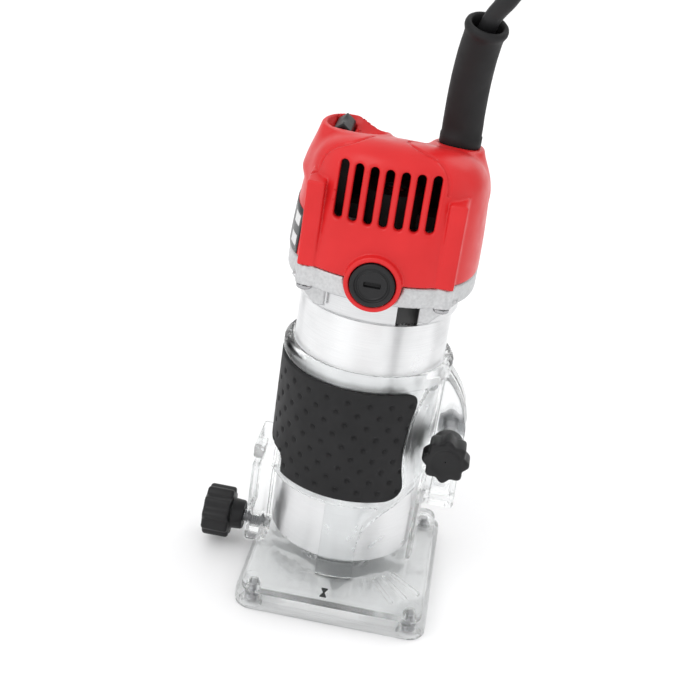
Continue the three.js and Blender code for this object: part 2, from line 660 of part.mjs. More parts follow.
function placePlug() {
  const set = (man) => man.rotate([90, 0, 0]).translate([PLUG.x, PLUG.y, PLUG.z]);
  place("plug_body", set(plugBody()), black);
  for (const [i, x] of [[1, -9.5], [2, 9.5]]) {
    place(`plug_pin_${i}`, set(rod(2, 36.3, 54.5, 16).translate([x, 0, 0])), steel);
  }
}

place("cord_boot", cordBoot(), rubber);
place("cord_lead", tubeAlong(CORD_POINTS, CORD_R, 8, 14), rubber);
place("cord_hank", hankSolid(), rubber);
place("cord_tail", tubeAlong(TAIL, CORD_R, 8, 12), rubber);
place("cord_tie", cordTie(), black);
placePlug();

export default group;
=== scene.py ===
import math
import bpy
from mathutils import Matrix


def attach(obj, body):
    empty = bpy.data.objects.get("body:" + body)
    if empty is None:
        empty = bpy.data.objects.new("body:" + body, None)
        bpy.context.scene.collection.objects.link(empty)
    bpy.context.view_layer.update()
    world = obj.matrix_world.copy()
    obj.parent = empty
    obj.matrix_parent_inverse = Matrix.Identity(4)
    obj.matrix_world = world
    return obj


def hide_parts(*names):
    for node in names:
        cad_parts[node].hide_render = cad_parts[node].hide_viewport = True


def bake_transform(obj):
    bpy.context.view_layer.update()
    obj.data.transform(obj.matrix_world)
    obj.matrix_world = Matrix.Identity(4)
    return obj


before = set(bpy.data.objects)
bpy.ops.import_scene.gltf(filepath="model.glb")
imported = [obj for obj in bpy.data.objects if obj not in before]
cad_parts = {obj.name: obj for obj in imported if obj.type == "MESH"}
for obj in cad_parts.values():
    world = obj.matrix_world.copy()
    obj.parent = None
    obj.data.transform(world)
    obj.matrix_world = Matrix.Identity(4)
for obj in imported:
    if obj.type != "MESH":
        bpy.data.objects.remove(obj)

from types import SimpleNamespace as Sizes

import bmesh
import bpy
import numpy as np
from mathutils import Matrix, Vector

# Trim router. Shapes are written in millimetres from the spindle axis; ORIGIN moves them into the frame.
ORIGIN = np.array([6.05, 2.72, 0.0])
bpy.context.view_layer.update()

BARREL = Sizes(r=32.5, bore=30.0, bottom=19.7, top=134.5, floor=25.2)
FLANGE = Sizes(z0=147.5, z1=156.0, a=39.0, b=43.0, n=2.4)
LUG = Sizes(x=27.4, y=33.0, r=3.9)
POCKET = Sizes(x=14.8, half=4.1, z=139.9, half_z=4.8, r=31.4)
HEAD = Sizes(x=0.3, a=39.0, b=43.0, n=2.5, wall=3.4, bottom=156.3, crown=208.2, roof=198.6)
CAP = Sizes(z=156.3, boss=11.2, r=8.8, face=46.0, bore=6.3)
TOWER = Sizes(centre=(27.3, 31.4, 172.4), half=(3.5, 6.6, 18.1), lean=0.14, rear_drop=9.0)
VENTS = Sizes(step=5.9, r=1.65, front_z=188.8, front_half=9.25, rear_z=177.8, rear_half=7.6, depth=26.0)
# A dark sheet inside the head behind the rear vents, which is painted shade.
SHADE_SHEET = Sizes(inner=28.3, outer=29.5, y=4.0, z0=159, z1=187)
COLLAR = Sizes(rear=(-20.6, -5.5), front=(-13.5, -10.0), r=11.2, top=206.2)
DISH = Sizes(rear=(-20.8, -5), front=(-14, -9), z=208.3, r=9.8)
ROCKER = Sizes(x=-23.0, y=-5.0, pivot=199.9, tilt=5.0)
BOOT = Sizes(x=22.8, y=1.0, seat=203.3)
SLEEVE = Sizes(r0=32.9, r1=34.8, rim=36.7, top=112.3, rim_z=106.2)
PLATE = Sizes(x=3.56, y=-6.43, a=42.14, b=46.02, r=8.2, z=6.7)
SHOE = Sizes(z0=7.0, z1=11.1, inset=2.45, hole=17.0)
GUIDE = Sizes(x=-42.2, y=-4.0, z=15.0, half=12.0, r=11.8)
CLAMP = Sizes(x=41.0, z=75.2, r=10.2, ear=8.7)
GRIP = Sizes(r0=35.1, r1=36.9, z0=53.3, z1=105.3, edge_x=102.7, edge_z=79.0, edge_r=80.0)
SOLE_SCREW = Sizes(x=34.5, y=38)
NUT = Sizes(z0=1.2, z1=13.0, across=8.49)
CORD_D = 7.0

CAMERA = Sizes(azimuth=4.21, elevation=25.29, roll=8.66, distance=519.66, lens=61.7142857,
               target=(-7.97, 0.0, 106.21))

# Studio: area lamps (name, place in metres, watts, size), and cards for the metal to mirror
# (name, degrees round from the front, half width in metres, shade).
LAMPS = (
    ("key", (-0.75, -0.85, 1.2), 5.0, 0.8),
    ("rim", (0.8, 0.6, 1.0), 2.5, 0.6),
)
FLAGS = (
    ("card_left", 122, 0.11, 0.03),
    ("card_front", -42, 0.1, 0.08),
    ("card_right", -120, 0.3, 0.3),
)


# ---- camera ----
def make_camera():
    az, el, roll = map(math.radians, (CAMERA.azimuth, CAMERA.elevation, CAMERA.roll))
    back = Vector((math.sin(az) * math.cos(el), -math.cos(az) * math.cos(el), math.sin(el)))
    right = Vector((math.cos(az), math.sin(az), 0))
    up = back.cross(right)
    rolled_right = right * math.cos(roll) + up * math.sin(roll)
    rolled_up = up * math.cos(roll) - right * math.sin(roll)
    place = (Vector(CAMERA.target) + back * CAMERA.distance + Vector(ORIGIN)) * 0.001
    data = bpy.data.cameras.new("camera")
    data.lens = CAMERA.lens
    data.sensor_width = 36
    data.clip_start = 0.01
    obj = bpy.data.objects.new("camera", data)
    obj.matrix_world = Matrix((
        (rolled_right.x, rolled_up.x, back.x, place.x),
        (rolled_right.y, rolled_up.y, back.y, place.y),
        (rolled_right.z, rolled_up.z, back.z, place.z),
        (0, 0, 0, 1),
    ))
    bpy.context.collection.objects.link(obj)
    bpy.context.scene.camera = obj


# ---- mesh helpers ----
def new_object(name, verts, faces, material, smooth=True):
    """Makes a mesh object from millimetre vertices."""
    mesh = bpy.data.meshes.new(name)
    points = (np.asarray(verts, dtype=float) + ORIGIN) * 0.001
    mesh.from_pydata([tuple(p) for p in points], [], [tuple(f) for f in faces])
    mesh.validate()
    obj = bpy.data.objects.new(name, mesh)
    bpy.context.collection.objects.link(obj)
    fix_normals(mesh)
    if smooth:
        mesh.shade_smooth()
    mesh.materials.append(material)
    return obj


def new_piece(name, verts, faces, material, body, nodes=(), slot=None, smooth=True):
    """Makes a mesh object that rides on a body."""
    obj = new_object(name, verts, faces, material, smooth)
    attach(obj, body)
    if nodes:
        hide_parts(*nodes)
    return obj


def fix_normals(mesh):
    """Turns every face outwards."""
    bm = bmesh.new()
    bm.from_mesh(mesh)
    bmesh.ops.recalc_face_normals(bm, faces=bm.faces)
    bm.to_mesh(mesh)
    bm.free()


def sharpen(obj, degrees=35.0):
    """Keeps edges sharper than the angle crisp under smooth shading."""
    limit = math.radians(degrees)
    bm = bmesh.new()
    bm.from_mesh(obj.data)
    for edge in bm.edges:
        if len(edge.link_faces) == 2 and edge.calc_face_angle() > limit:
            edge.smooth = False
    bm.to_mesh(obj.data)
    bm.free()


def loft(rings, closed=False):
    """Joins equal rings; capped at both ends unless the rings close on themselves."""
    n = len(rings[0])
    count = len(rings)
    verts = np.concatenate([np.asarray(r, dtype=float) for r in rings])
    faces = []
    for k in range(count if closed else count - 1):
        m = (k + 1) % count
        for i in range(n):
            j = (i + 1) % n
            faces.append((k * n + i, k * n + j, m * n + j, m * n + i))
    if not closed:
        faces.append(tuple(range(n))[::-1])
        faces.append(tuple(range((count - 1) * n, count * n)))
    return verts, faces


def turned(profile, segments):
    """Revolves a closed list of (radius, height) about Z."""
    rings = []
    angles = np.linspace(0, 2 * np.pi, segments, endpoint=False)
    for r, z in profile:
        rings.append(np.stack([r * np.cos(angles), r * np.sin(angles), np.full(segments, z)], axis=1))
    return loft(rings, closed=True)


def rounded_profile(points, bevel=0.4, steps=3):
    """Rounds every corner of a closed profile by the same bevel."""
    pts = [np.array(p, dtype=float) for p in points]
    out = []
    for i, p in enumerate(pts):
        a, b = pts[i - 1], pts[(i + 1) % len(pts)]
        ka = min(bevel, 0.45 * np.linalg.norm(a - p))
        kb = min(bevel, 0.45 * np.linalg.norm(b - p))
        start = p + (a - p) / np.linalg.norm(a - p) * ka
        end = p + (b - p) / np.linalg.norm(b - p) * kb
        for s in np.linspace(0, 1, steps + 1):
            out.append((1 - s) ** 2 * start + 2 * s * (1 - s) * p + s ** 2 * end)
    return out


def to_axis(verts, axis, offset):
    """Turns a shape made about Z so that it stands about X or Y, then moves it."""
    v = np.asarray(verts, dtype=float)
    if axis == "x":
        v = np.stack([v[:, 2], v[:, 1], -v[:, 0]], axis=1)
    elif axis == "y":
        v = np.stack([v[:, 0], v[:, 2], -v[:, 1]], axis=1)
    return v + np.array(offset, dtype=float)


def smooth_line(points, steps):
    """A centripetal Catmull-Rom line through the points."""
    p = np.array(points, dtype=float)
    p = np.vstack([2 * p[0] - p[1], p, 2 * p[-1] - p[-2]])
    line = []
    for i in range(1, len(p) - 2):
        a, b, c, d = p[i - 1:i + 3]
        t1 = np.linalg.norm(b - a) ** 0.5
        t2 = t1 + np.linalg.norm(c - b) ** 0.5
        t3 = t2 + np.linalg.norm(d - c) ** 0.5
        for t in np.linspace(t1, t2, steps, endpoint=False):
            ab = ((t1 - t) * a + t * b) / t1
            bc = ((t2 - t) * b + (t - t1) * c) / (t2 - t1)
            cd = ((t3 - t) * c + (t - t2) * d) / (t3 - t2)
            abc = ((t2 - t) * ab + t * bc) / t2
            bcd = ((t3 - t) * bc + (t - t1) * cd) / (t3 - t1)
            line.append(((t2 - t) * abc + (t - t1) * bcd) / (t2 - t1))
    line.append(p[-2])
    return np.array(line)


# ---- signed distance fields ----
def smooth_min(a, b, k):
    """The smaller of two fields, blended over a width k."""
    h = np.clip(0.5 + 0.5 * (b - a) / k, 0, 1)
    return b + (a - b) * h - k * h * (1 - h)


def smooth_max(a, b, k):
    return -smooth_min(-a, -b, k)


def slab(w, w0, w1):
    """Below zero between w0 and w1."""
    return np.abs(w - (w0 + w1) / 2) - (w1 - w0) / 2


def cylinder(u, v, w, r, w0, w1, edge=0.5):
    return smooth_max(np.hypot(u, v) - r, slab(w, w0, w1), edge)


def rounded_box(x, y, z, centre, half, r):
    q = [np.abs(c - m) - h + r for c, m, h in zip((x, y, z), centre, half)]
    outside = np.sqrt(sum(np.maximum(c, 0) ** 2 for c in q))
    return outside + np.minimum(np.maximum(np.maximum(q[0], q[1]), q[2]), 0) - r


def rounded_rect(x, y, cx, cy, a, b, r):
    qx = np.abs(x - cx) - a + r
    qy = np.abs(y - cy) - b + r
    return np.hypot(np.maximum(qx, 0), np.maximum(qy, 0)) + np.minimum(np.maximum(qx, qy), 0) - r


def segment_distance(p, a, b):
    """Distance from each point to a segment, for grooves along a line."""
    a, b = np.array(a, dtype=np.float32), np.array(b, dtype=np.float32)
    d = b - a
    t = sum((c - o) * e for c, o, e in zip(p, a, d)) / float(d @ d)
    t = np.clip(t, 0, 1)
    return np.sqrt(sum((c - o - t * e) ** 2 for c, o, e in zip(p, a, d)))


def surface_net(field, low, high, step):
    """Meshes where the field is zero: one vertex to a crossed cell, then pulled onto the surface."""
    axes = [np.arange(lo, hi + step, step, dtype=np.float32) for lo, hi in zip(low, high)]
    values = np.empty([len(a) for a in axes], dtype=np.float32)
    for i, x in enumerate(axes[0]):
        y, z = np.meshgrid(axes[1], axes[2], indexing="ij")
        values[i] = field(np.full_like(y, x), y, z)
    inside = values < 0
    corner = inside[:-1, :-1, :-1].astype(np.int8)
    total = np.zeros_like(corner)
    for dx in (0, 1):
        for dy in (0, 1):
            for dz in (0, 1):
                total += inside[dx:dx + corner.shape[0], dy:dy + corner.shape[1], dz:dz + corner.shape[2]]
    active = (total > 0) & (total < 8)
    index = np.full(active.shape, -1, dtype=np.int64)
    cells = np.argwhere(active)
    index[active] = np.arange(len(cells))
    points = np.array(low, dtype=np.float32) + (cells + 0.5) * step
    points = pull_to_surface(field, points, step)
    faces = []
    for axis in range(3):
        faces.append(edge_quads(inside, index, axis))
    return points, np.concatenate(faces)


def net_piece(name, field, low, high, step, *rest):
    """Meshes a field as a piece; the rest is what new_piece takes after its faces."""
    points, faces = surface_net(field, low, high, step)
    return new_piece(name, points, faces, *rest)


def edge_quads(inside, index, axis):
    """One quad round every grid edge that the surface crosses."""
    u, v = (axis + 1) % 3, (axis + 2) % 3
    a = np.moveaxis(inside, (axis, u, v), (0, 1, 2))
    ids = np.moveaxis(index, (axis, u, v), (0, 1, 2))
    first, second = a[:-1, 1:-1, 1:-1], a[1:, 1:-1, 1:-1]
    crossed = np.argwhere(first != second)
    i, j, k = crossed[:, 0], crossed[:, 1] + 1, crossed[:, 2] + 1
    quad = np.stack([ids[i, j - 1, k - 1], ids[i, j, k - 1], ids[i, j, k], ids[i, j - 1, k]], axis=1)
    flip = second[crossed[:, 0], crossed[:, 1], crossed[:, 2]]
    quad[flip] = quad[flip][:, ::-1]
    return quad


def pull_to_surface(field, points, step, rounds=4):
    """Moves points along the field's slope until they lie where it is zero."""
    start = points.copy()
    h = 0.08
    for _ in range(rounds):
        x, y, z = points[:, 0], points[:, 1], points[:, 2]
        value = field(x, y, z)
        grad = np.stack([
            field(x + h, y, z) - field(x - h, y, z),
            field(x, y + h, z) - field(x, y - h, z),
            field(x, y, z + h) - field(x, y, z - h),
        ], axis=1) / (2 * h)
        size = np.maximum((grad ** 2).sum(axis=1), 0.04)
        move = -(value / size)[:, None] * grad
        points = points + np.clip(move, -step, step)
        points = start + np.clip(points - start, -0.75 * step, 0.75 * step)
    return points


# ---- materials ----
MATT = {"Specular_IOR_Level": 0.32}


def set_inputs(node, **values):
    """Sets inputs by name, with _ for each space."""
    for key, value in values.items():
        node.inputs[key.replace("_", " ")].default_value = value


def add_node(mat, kind, **values):
    node = mat.node_tree.nodes.new("ShaderNode" + kind)
    set_inputs(node, **values)
    return node


def material(name, color, roughness, metallic=0.0, **sockets):
    mat = bpy.data.materials.new(name)
    mat.use_nodes = True
    shader = mat.node_tree.nodes["Principled BSDF"]
    set_inputs(shader, Base_Color=(*color, 1), Roughness=roughness, Metallic=metallic, **sockets)
    return mat


def texture_space(mat, scale=(1, 1, 1)):
    coords = add_node(mat, "TexCoord")
    mapping = add_node(mat, "Mapping", Scale=scale)
    mat.node_tree.links.new(coords.outputs["Object"], mapping.inputs["Vector"])
    return mapping.outputs["Vector"]


def noise(mat, vector, scale, detail=3.0):
    node = add_node(mat, "TexNoise", Scale=scale, Detail=detail)
    mat.node_tree.links.new(vector, node.inputs["Vector"])
    return node.outputs["Fac"]


def add_bump(mat, height, strength, distance=0.0002):
    nodes, links = mat.node_tree.nodes, mat.node_tree.links
    bump = add_node(mat, "Bump", Strength=strength, Distance=distance)
    links.new(height, bump.inputs["Height"])
    links.new(bump.outputs["Normal"], nodes["Principled BSDF"].inputs["Normal"])


def vary(mat, factor, socket, low, high, from_min=0.3, from_max=0.7):
    """Drives a number or a colour of the shader by a texture."""
    nodes, links = mat.node_tree.nodes, mat.node_tree.links
    if isinstance(low, tuple):
        ramp = add_node(mat, "ValToRGB")
        ramp.color_ramp.elements[0].position = from_min
        ramp.color_ramp.elements[1].position = from_max
        ramp.color_ramp.elements[0].color = (*low, 1)
        ramp.color_ramp.elements[1].color = (*high, 1)
        links.new(factor, ramp.inputs["Fac"])
        links.new(ramp.outputs["Color"], nodes["Principled BSDF"].inputs[socket])
        return
    remap = add_node(mat, "MapRange", From_Min=from_min, From_Max=from_max, To_Min=low, To_Max=high)
    links.new(factor, remap.inputs["Value"])
    links.new(remap.outputs["Result"], nodes["Principled BSDF"].inputs[socket])


def moulded(name, low, high, roughness, grain=2600.0, bump=0.12, **sockets):
    """Moulded plastic: a fine grain, and a slow change of shade and gloss."""
    mat = material(name, high, roughness, **sockets)
    space = texture_space(mat)
    vary(mat, noise(mat, space, 45.0), "Base Color", low, high)
    vary(mat, noise(mat, space, 160.0, 5.0), "Roughness", roughness - 0.05, roughness + 0.07)
    add_bump(mat, noise(mat, space, grain, 2.0), bump, 0.00008)
    return mat


def turned_metal(name, low, high, roughness, lines, bump=0.1):
    """Metal with fine turning marks round Z."""
    mat = material(name, high, roughness, 1.0)
    space = texture_space(mat, (12, 12, lines))
    marks = noise(mat, space, 6.0, 4.0)
    vary(mat, marks, "Base Color", low, high)
    vary(mat, noise(mat, texture_space(mat), 120.0), "Roughness", roughness - 0.05, roughness + 0.08)
    add_bump(mat, marks, bump, 0.00006)
    return mat


def brushed_round(mat, amount):
    """Stretches the highlights across the turning marks."""
    nodes, links = mat.node_tree.nodes, mat.node_tree.links
    tangent = add_node(mat, "Tangent")
    tangent.direction_type = "RADIAL"
    tangent.axis = "Z"
    shader = nodes["Principled BSDF"]
    set_inputs(shader, Anisotropic=amount, Anisotropic_Rotation=0.25)
    links.new(tangent.outputs["Tangent"], shader.inputs["Tangent"])
    return mat


def cast_metal(name, low, high, roughness):
    mat = material(name, high, roughness, 0.85)
    space = texture_space(mat)
    vary(mat, noise(mat, space, 900.0, 4.0), "Base Color", low, high)
    vary(mat, noise(mat, space, 200.0), "Roughness", roughness - 0.08, roughness + 0.1)
    add_bump(mat, noise(mat, space, 1500.0, 3.0), 0.35, 0.0002)
    return mat


def clear_plastic():
    mat = material("clear_plastic", (0.97, 0.98, 0.98), 0.02, IOR=1.2, Transmission_Weight=1.0,
                   Specular_IOR_Level=1.0, Alpha=0.8)
    space = texture_space(mat)
    vary(mat, noise(mat, space, 60.0), "Roughness", 0.0, 0.025)
    add_bump(mat, noise(mat, space, 70.0, 2.0), 0.03, 0.0006)
    return mat


def wound_copper():
    mat = material("wound_copper", (0.55, 0.22, 0.1), 0.35, 0.9)
    space = texture_space(mat)
    wave = add_node(mat, "TexWave", Scale=500.0, Distortion=2.0)
    mat.node_tree.links.new(space, wave.inputs["Vector"])
    vary(mat, wave.outputs["Fac"], "Base Color", (0.2, 0.07, 0.04), (0.62, 0.27, 0.13))
    add_bump(mat, wave.outputs["Fac"], 0.6, 0.0003)
    return mat


def make_materials():
    return {
        "red": moulded("red_plastic", (0.57, 0.012, 0.013), (0.65, 0.017, 0.019), 0.34, 2200.0, 0.1, **MATT),
        "black": moulded("black_plastic", (0.006, 0.006, 0.0065), (0.011, 0.011, 0.012), 0.42, **MATT),
        "rubber": moulded("soft_grip", (0.006, 0.006, 0.0065), (0.01, 0.01, 0.011), 0.6, 3200.0, 0.2, **MATT),
        "cord": moulded("cord_jacket", (0.009, 0.009, 0.01), (0.015, 0.015, 0.016), 0.5, 1800.0, 0.12,
                        **MATT),
        "inner": moulded("inner_plastic", (0.02, 0.02, 0.02), (0.04, 0.04, 0.04), 0.55),
        "barrel": brushed_round(
            turned_metal("barrel_alloy", (0.73, 0.735, 0.74), (0.86, 0.865, 0.87), 0.32, 3000), 0.85),
        "neck": turned_metal("neck_alloy", (0.6, 0.605, 0.61), (0.7, 0.705, 0.71), 0.3, 1200, 0.04),
        "cast": cast_metal("cast_alloy", (0.52, 0.525, 0.53), (0.62, 0.625, 0.63), 0.5),
        "steel": turned_metal("bright_steel", (0.3, 0.3, 0.31), (0.46, 0.46, 0.47), 0.26, 1500),
        "dark": turned_metal("dark_steel", (0.03, 0.03, 0.032), (0.07, 0.07, 0.073), 0.38, 1500),
        "brass": turned_metal("brass_fitting", (0.6, 0.42, 0.14), (0.75, 0.55, 0.22), 0.3, 1500),
        "carbon": moulded("carbon_block", (0.02, 0.02, 0.02), (0.05, 0.05, 0.05), 0.7),
        "label": moulded("label_film", (0.012, 0.012, 0.013), (0.02, 0.02, 0.022), 0.3, 4000.0, 0.03),
        "print": moulded("label_print", (0.62, 0.62, 0.62), (0.72, 0.72, 0.72), 0.4, 4000.0, 0.03),
        "clear": clear_plastic(),
        "copper": wound_copper(),
        "commutator": turned_metal("commutator_copper", (0.6, 0.27, 0.14), (0.78, 0.4, 0.24), 0.35, 900),
    }


# The CAD parts that stay in view, by the material each one gets.
NODE_LOOKS = {
    "steel": ("clamp_nut", "front_brush_spring", "rear_brush_spring", "lower_bearing", "bearing_retainer",
              "upper_bearing", "spindle_shaft", "plug_pin_1", "plug_pin_2"),
    "dark": ("collet", "stator_core", "armature_core"),
    "brass": ("front_brush_holder", "rear_brush_holder"),
    "carbon": ("front_carbon_brush", "rear_carbon_brush"),
    "copper": ("field_coil_lower", "field_coil_upper", "winding_lower", "winding_upper"),
    "commutator": ("commutator",),
    "inner": ("switch_body", "air_baffle", "bearing_bridge", "cooling_fan"),
}


def dress_nodes(mats):
    """Gives each CAD part that stays in view its material and softens its edges."""
    for look, names in NODE_LOOKS.items():
        for name in names:
            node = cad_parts[name]
            for holder in node.material_slots:
                holder.material = mats[look]
            bevel = node.modifiers.new("edges", "BEVEL")
            bevel.width = 0.0002
            bevel.segments = 2
            bevel.limit_method = "ANGLE"


# ---- floor and light ----
def sheet(name, corners, mat):
    """A flat sheet with four corners, in metres."""
    mesh = bpy.data.meshes.new(name)
    mesh.from_pydata(corners, [], [(0, 1, 2, 3)])
    mesh.materials.append(mat)
    obj = bpy.data.objects.new(name, mesh)
    bpy.context.collection.objects.link(obj)
    return obj


def make_stage():
    size = 3.0
    corners = [(-size, -size, 0), (size, -size, 0), (size, size, 0), (-size, size, 0)]
    floor = sheet("floor", corners, material("floor_paint", (0.96, 0.96, 0.965), 0.7))
    world = bpy.data.worlds.new("studio")
    world.use_nodes = True
    set_inputs(world.node_tree.nodes["Background"], Color=(1, 1, 1, 1), Strength=1.08)
    bpy.context.scene.world = world
    bpy.context.scene.view_settings.view_transform = "Standard"
    for name, place, energy, size in LAMPS:
        data = bpy.data.lights.new(name, "AREA")
        data.energy = energy
        data.size = size
        lamp = bpy.data.objects.new(name, data)
        lamp.location = place
        lamp.rotation_euler = (Vector((0, 0, 0.12)) - Vector(place)).to_track_quat("-Z", "Y").to_euler()
        bpy.context.collection.objects.link(lamp)
    for name, azimuth, half_width, shade in FLAGS:
        make_flag(name, math.radians(azimuth), half_width, shade)


def make_flag(name, azimuth, half_width, shade):
    """An upright card that shows only in reflections and through the clear plastic."""
    centre = np.array([-math.sin(azimuth), -math.cos(azimuth)]) * 0.9
    side = np.array([math.cos(azimuth), -math.sin(azimuth)]) * half_width
    left, right, top = centre - side, centre + side, 1.3
    corners = [(*left, 0.0), (*right, 0.0), (*right, top), (*left, top)]
    flag = sheet(name, corners, material(name, (shade, shade, shade), 0.9))
    flag.visible_camera = False
    flag.visible_diffuse = False
    flag.visible_shadow = False


# ---- head ----
LABEL_GRID = (8, 24)
# The two grooves across the head's top, roughly; snap_seams moves them onto the surface.
SEAMS = (
    ((-9.6, -22.3, 207.2), (-11.4, -25.7, 206.8), (-14.7, -28.5, 205.6), (-19, -29.1, 204),
     (-23.5, -28.3, 202), (-27.2, -28.5, 199.1), (-29.3, -29.5, 196.1), (-30.3, -31, 192)),
    ((14, -10, 207.5), (9.3, -16.8, 207.4), (5.1, -18.7, 207.4), (3.9, -21.4, 207.4), (4.7, -25.9, 207.1),
     (7.4, -28.8, 206.4), (10.7, -30.5, 205.5), (13.9, -31.1, 204.7), (17.3, -32, 203.2),
     (20.1, -33.2, 200.6), (21.7, -34.4, 197.3), (22.6, -35.3, 193)),
)


def head_shell(x, y, z):
    """The plain body of the head, which narrows upwards and whose top falls towards the rear."""
    t = np.clip((z - 156) / 50, 0, 1.2)
    a = HEAD.a - 1.3 * t - 3.4 * t ** 2
    b = HEAD.b - 5.0 * t ** 2
    n = HEAD.n
    q = (np.abs((x - HEAD.x - 1.4 * t) / a) ** n + np.abs(y / b) ** n) ** (1 / n)
    side = (q - 1) * 38
    back = y + 20
    top = z - (HEAD.crown - 0.0018 * x ** 2 - 0.15 * (np.sqrt(back ** 2 + 64) + back))
    return smooth_max(side, top, 13.0)


def head_outer(x, y, z):
    """The outside of the head, with its collar, cord seat, screw towers and brush bosses."""
    d = head_shell(x, y, z)
    d = smooth_min(d, collar_field(x, y, z), 3.5)
    bx, by = x - BOOT.x, y - BOOT.y
    cone = (np.hypot(bx, by) - 10.2 - 0.22 * np.clip(BOOT.seat - z, 0, 30)) * 0.97
    pad = smooth_max(cone, z - BOOT.seat, 1.2)
    d = smooth_min(d, smooth_max(pad, 186 - z, 3.0), 4.0)
    drop = TOWER.lean * (np.abs(y) - 37) + np.where(y > 0, TOWER.rear_drop, 0.0)
    tower = rounded_box(np.abs(x), np.abs(y), z + drop, TOWER.centre, TOWER.half, 0.9)
    d = smooth_min(d, tower, 0.9)
    d = smooth_max(d, HEAD.bottom - z, 0.7)
    boss = cylinder(x, z - CAP.z, np.abs(y), CAP.boss, 34.7, CAP.face, 0.8)
    return smooth_min(d, boss, 0.8)


def collar_field(x, y, z):
    """The raised, drop-shaped collar round the switch, whose rim falls towards the front."""
    spine = segment_distance((x, y, 0 * z), (*COLLAR.rear, 0), (*COLLAR.front, 0))
    grow = 0.3 * np.clip(COLLAR.top - z, 0, 24)
    cone = (spine - COLLAR.r + 0.22 * np.clip(x - COLLAR.rear[0], 0, 12) - grow) * 0.93
    rim = z - COLLAR.top - 0.1 * (y + 5)
    return smooth_max(smooth_max(cone, rim, 0.9), 186 - z, 3.0)


def head_field(x, y, z):
    """The head moulding without its seams: hollow, slotted, and bored for what fits into it."""
    d = head_outer(x, y, z)
    cavity = head_shell(x, y, z) + HEAD.wall
    d = np.maximum(d, -np.maximum(cavity, z - HEAD.roof))
    d = smooth_max(d, -vent_field(x, y, z), 1.4)
    across = segment_distance((x, y, 0 * z), (*DISH.rear, 0), (*DISH.front, 0))
    dish = np.hypot(across, 1.3 * (z - DISH.z)) - DISH.r
    d = smooth_max(d, -dish, 0.6)
    post = rounded_box(x, y, z, (ROCKER.x, ROCKER.y, 197.8), (5.3, 9.4, 5.2), 0.6)
    d = smooth_min(d, post, 0.5)
    d = np.maximum(d, -rounded_box(x, y, z, (ROCKER.x, ROCKER.y, 202), (4.15, 7.9, 14), 0.4))
    d = smooth_max(d, -cylinder(x, z - CAP.z, np.abs(y), CAP.r + 0.35, 40, 60, 0.3), 0.4)
    d = np.maximum(d, -cylinder(x, z - CAP.z, np.abs(y), CAP.bore, 20, 60, 0.3))
    bx, by = x - BOOT.x, y - BOOT.y
    d = np.maximum(d, -cylinder(bx, by, z, 6.5, 185, 220, 0.3))
    d = np.maximum(d, -cylinder(bx, by, z, 8.9, BOOT.seat, 220, 0.2))
    d = np.maximum(d, -cylinder(np.abs(x) - LUG.x, np.abs(y) - LUG.y, z, 2.6, 150, 178, 0.2))
    return d


def cut_seams(d, x, y, z, seams):
    """Cuts the grooves, measured only near the surface to save time."""
    close = np.abs(d) < 1.6
    p = (x[close], y[close], z[close])
    gap = np.full(p[0].shape, 9.0)
    for seam in seams:
        for a, b in zip(seam[:-1], seam[1:]):
            gap = np.minimum(gap, segment_distance(p, a, b))
    d = d.copy()
    d[close] = smooth_max(d[close], 0.6 - gap, 0.2)
    return d


def vent_field(x, y, z):
    """Seven upright slots through the front of the head, and seven shorter ones through the rear."""
    across = x - np.clip(np.round(x / VENTS.step), -3, 3) * VENTS.step
    middle = np.where(y < 0, VENTS.front_z, VENTS.rear_z)
    half = np.where(y < 0, VENTS.front_half, VENTS.rear_half)
    slot = np.hypot(across, np.maximum(np.abs(z - middle) - half, 0)) - VENTS.r
    return smooth_max(slot, VENTS.depth - np.abs(y), 0.4)


def snap_seams():
    """The seams with their points moved onto the head's outer surface."""
    snapped = []
    for seam in SEAMS:
        pts = smooth_line(seam, 4).astype(np.float32)
        snapped.append([tuple(p) for p in pull_to_surface(head_outer, pts, 6.0, 8)])
    return snapped


def make_head(mats):
    seams = snap_seams()

    def field(x, y, z):
        return cut_seams(head_field(x, y, z), x, y, z, seams)

    net_piece("head_moulding", field, (-42, -50, 143), (44, 50, 212), 0.6, mats["red"], "motor",
              ("head_cover",), "red_plastic")


def label_patch(name, y_range, z_range, proud, mat, nodes=()):
    """A thin sheet on the left side of the head, whose face follows the surface."""
    rows, cols = LABEL_GRID
    front = []
    for z in np.linspace(*z_range, rows):
        line = np.stack([np.full(cols, -38.0), np.linspace(*y_range, cols), np.full(cols, z)], axis=1)
        line = line.astype(np.float32)
        front.append(pull_to_surface(lambda x, y, z: head_outer(x, y, z) - proud, line, 12.0, 8))
    front = np.concatenate(front)
    verts = np.concatenate([front, front + np.array([0.5, 0, 0])])
    back = rows * cols
    faces = []
    for i in range(rows - 1):
        for j in range(cols - 1):
            a = i * cols + j
            faces.append((a, a + 1, a + cols + 1, a + cols))
            faces.append((a + back, a + back + cols, a + back + cols + 1, a + back + 1))
    last = (rows - 1) * cols
    ring = list(range(cols)) + [cols * i + cols - 1 for i in range(1, rows)]
    ring += [last + j for j in range(cols - 2, -1, -1)] + [cols * i for i in range(rows - 2, 0, -1)]
    for a, b in zip(ring, ring[1:] + ring[:1]):
        faces.append((a, a + back, b + back, b))
    new_piece(name, verts, faces, mat, "motor", nodes, "black_plastic")


def make_label(mats):
    """A plain label with two pale blanks on it."""
    label_patch("side_label", (-31, 2), (157.2, 175.2), 0.35, mats["label"], ("rating_label",))
    label_patch("label_panel_low", (-28.5, -20.5), (159.6, 164), 0.45, mats["print"])
    label_patch("label_panel_high", (-28.5, -20.5), (168, 172.4), 0.45, mats["print"])


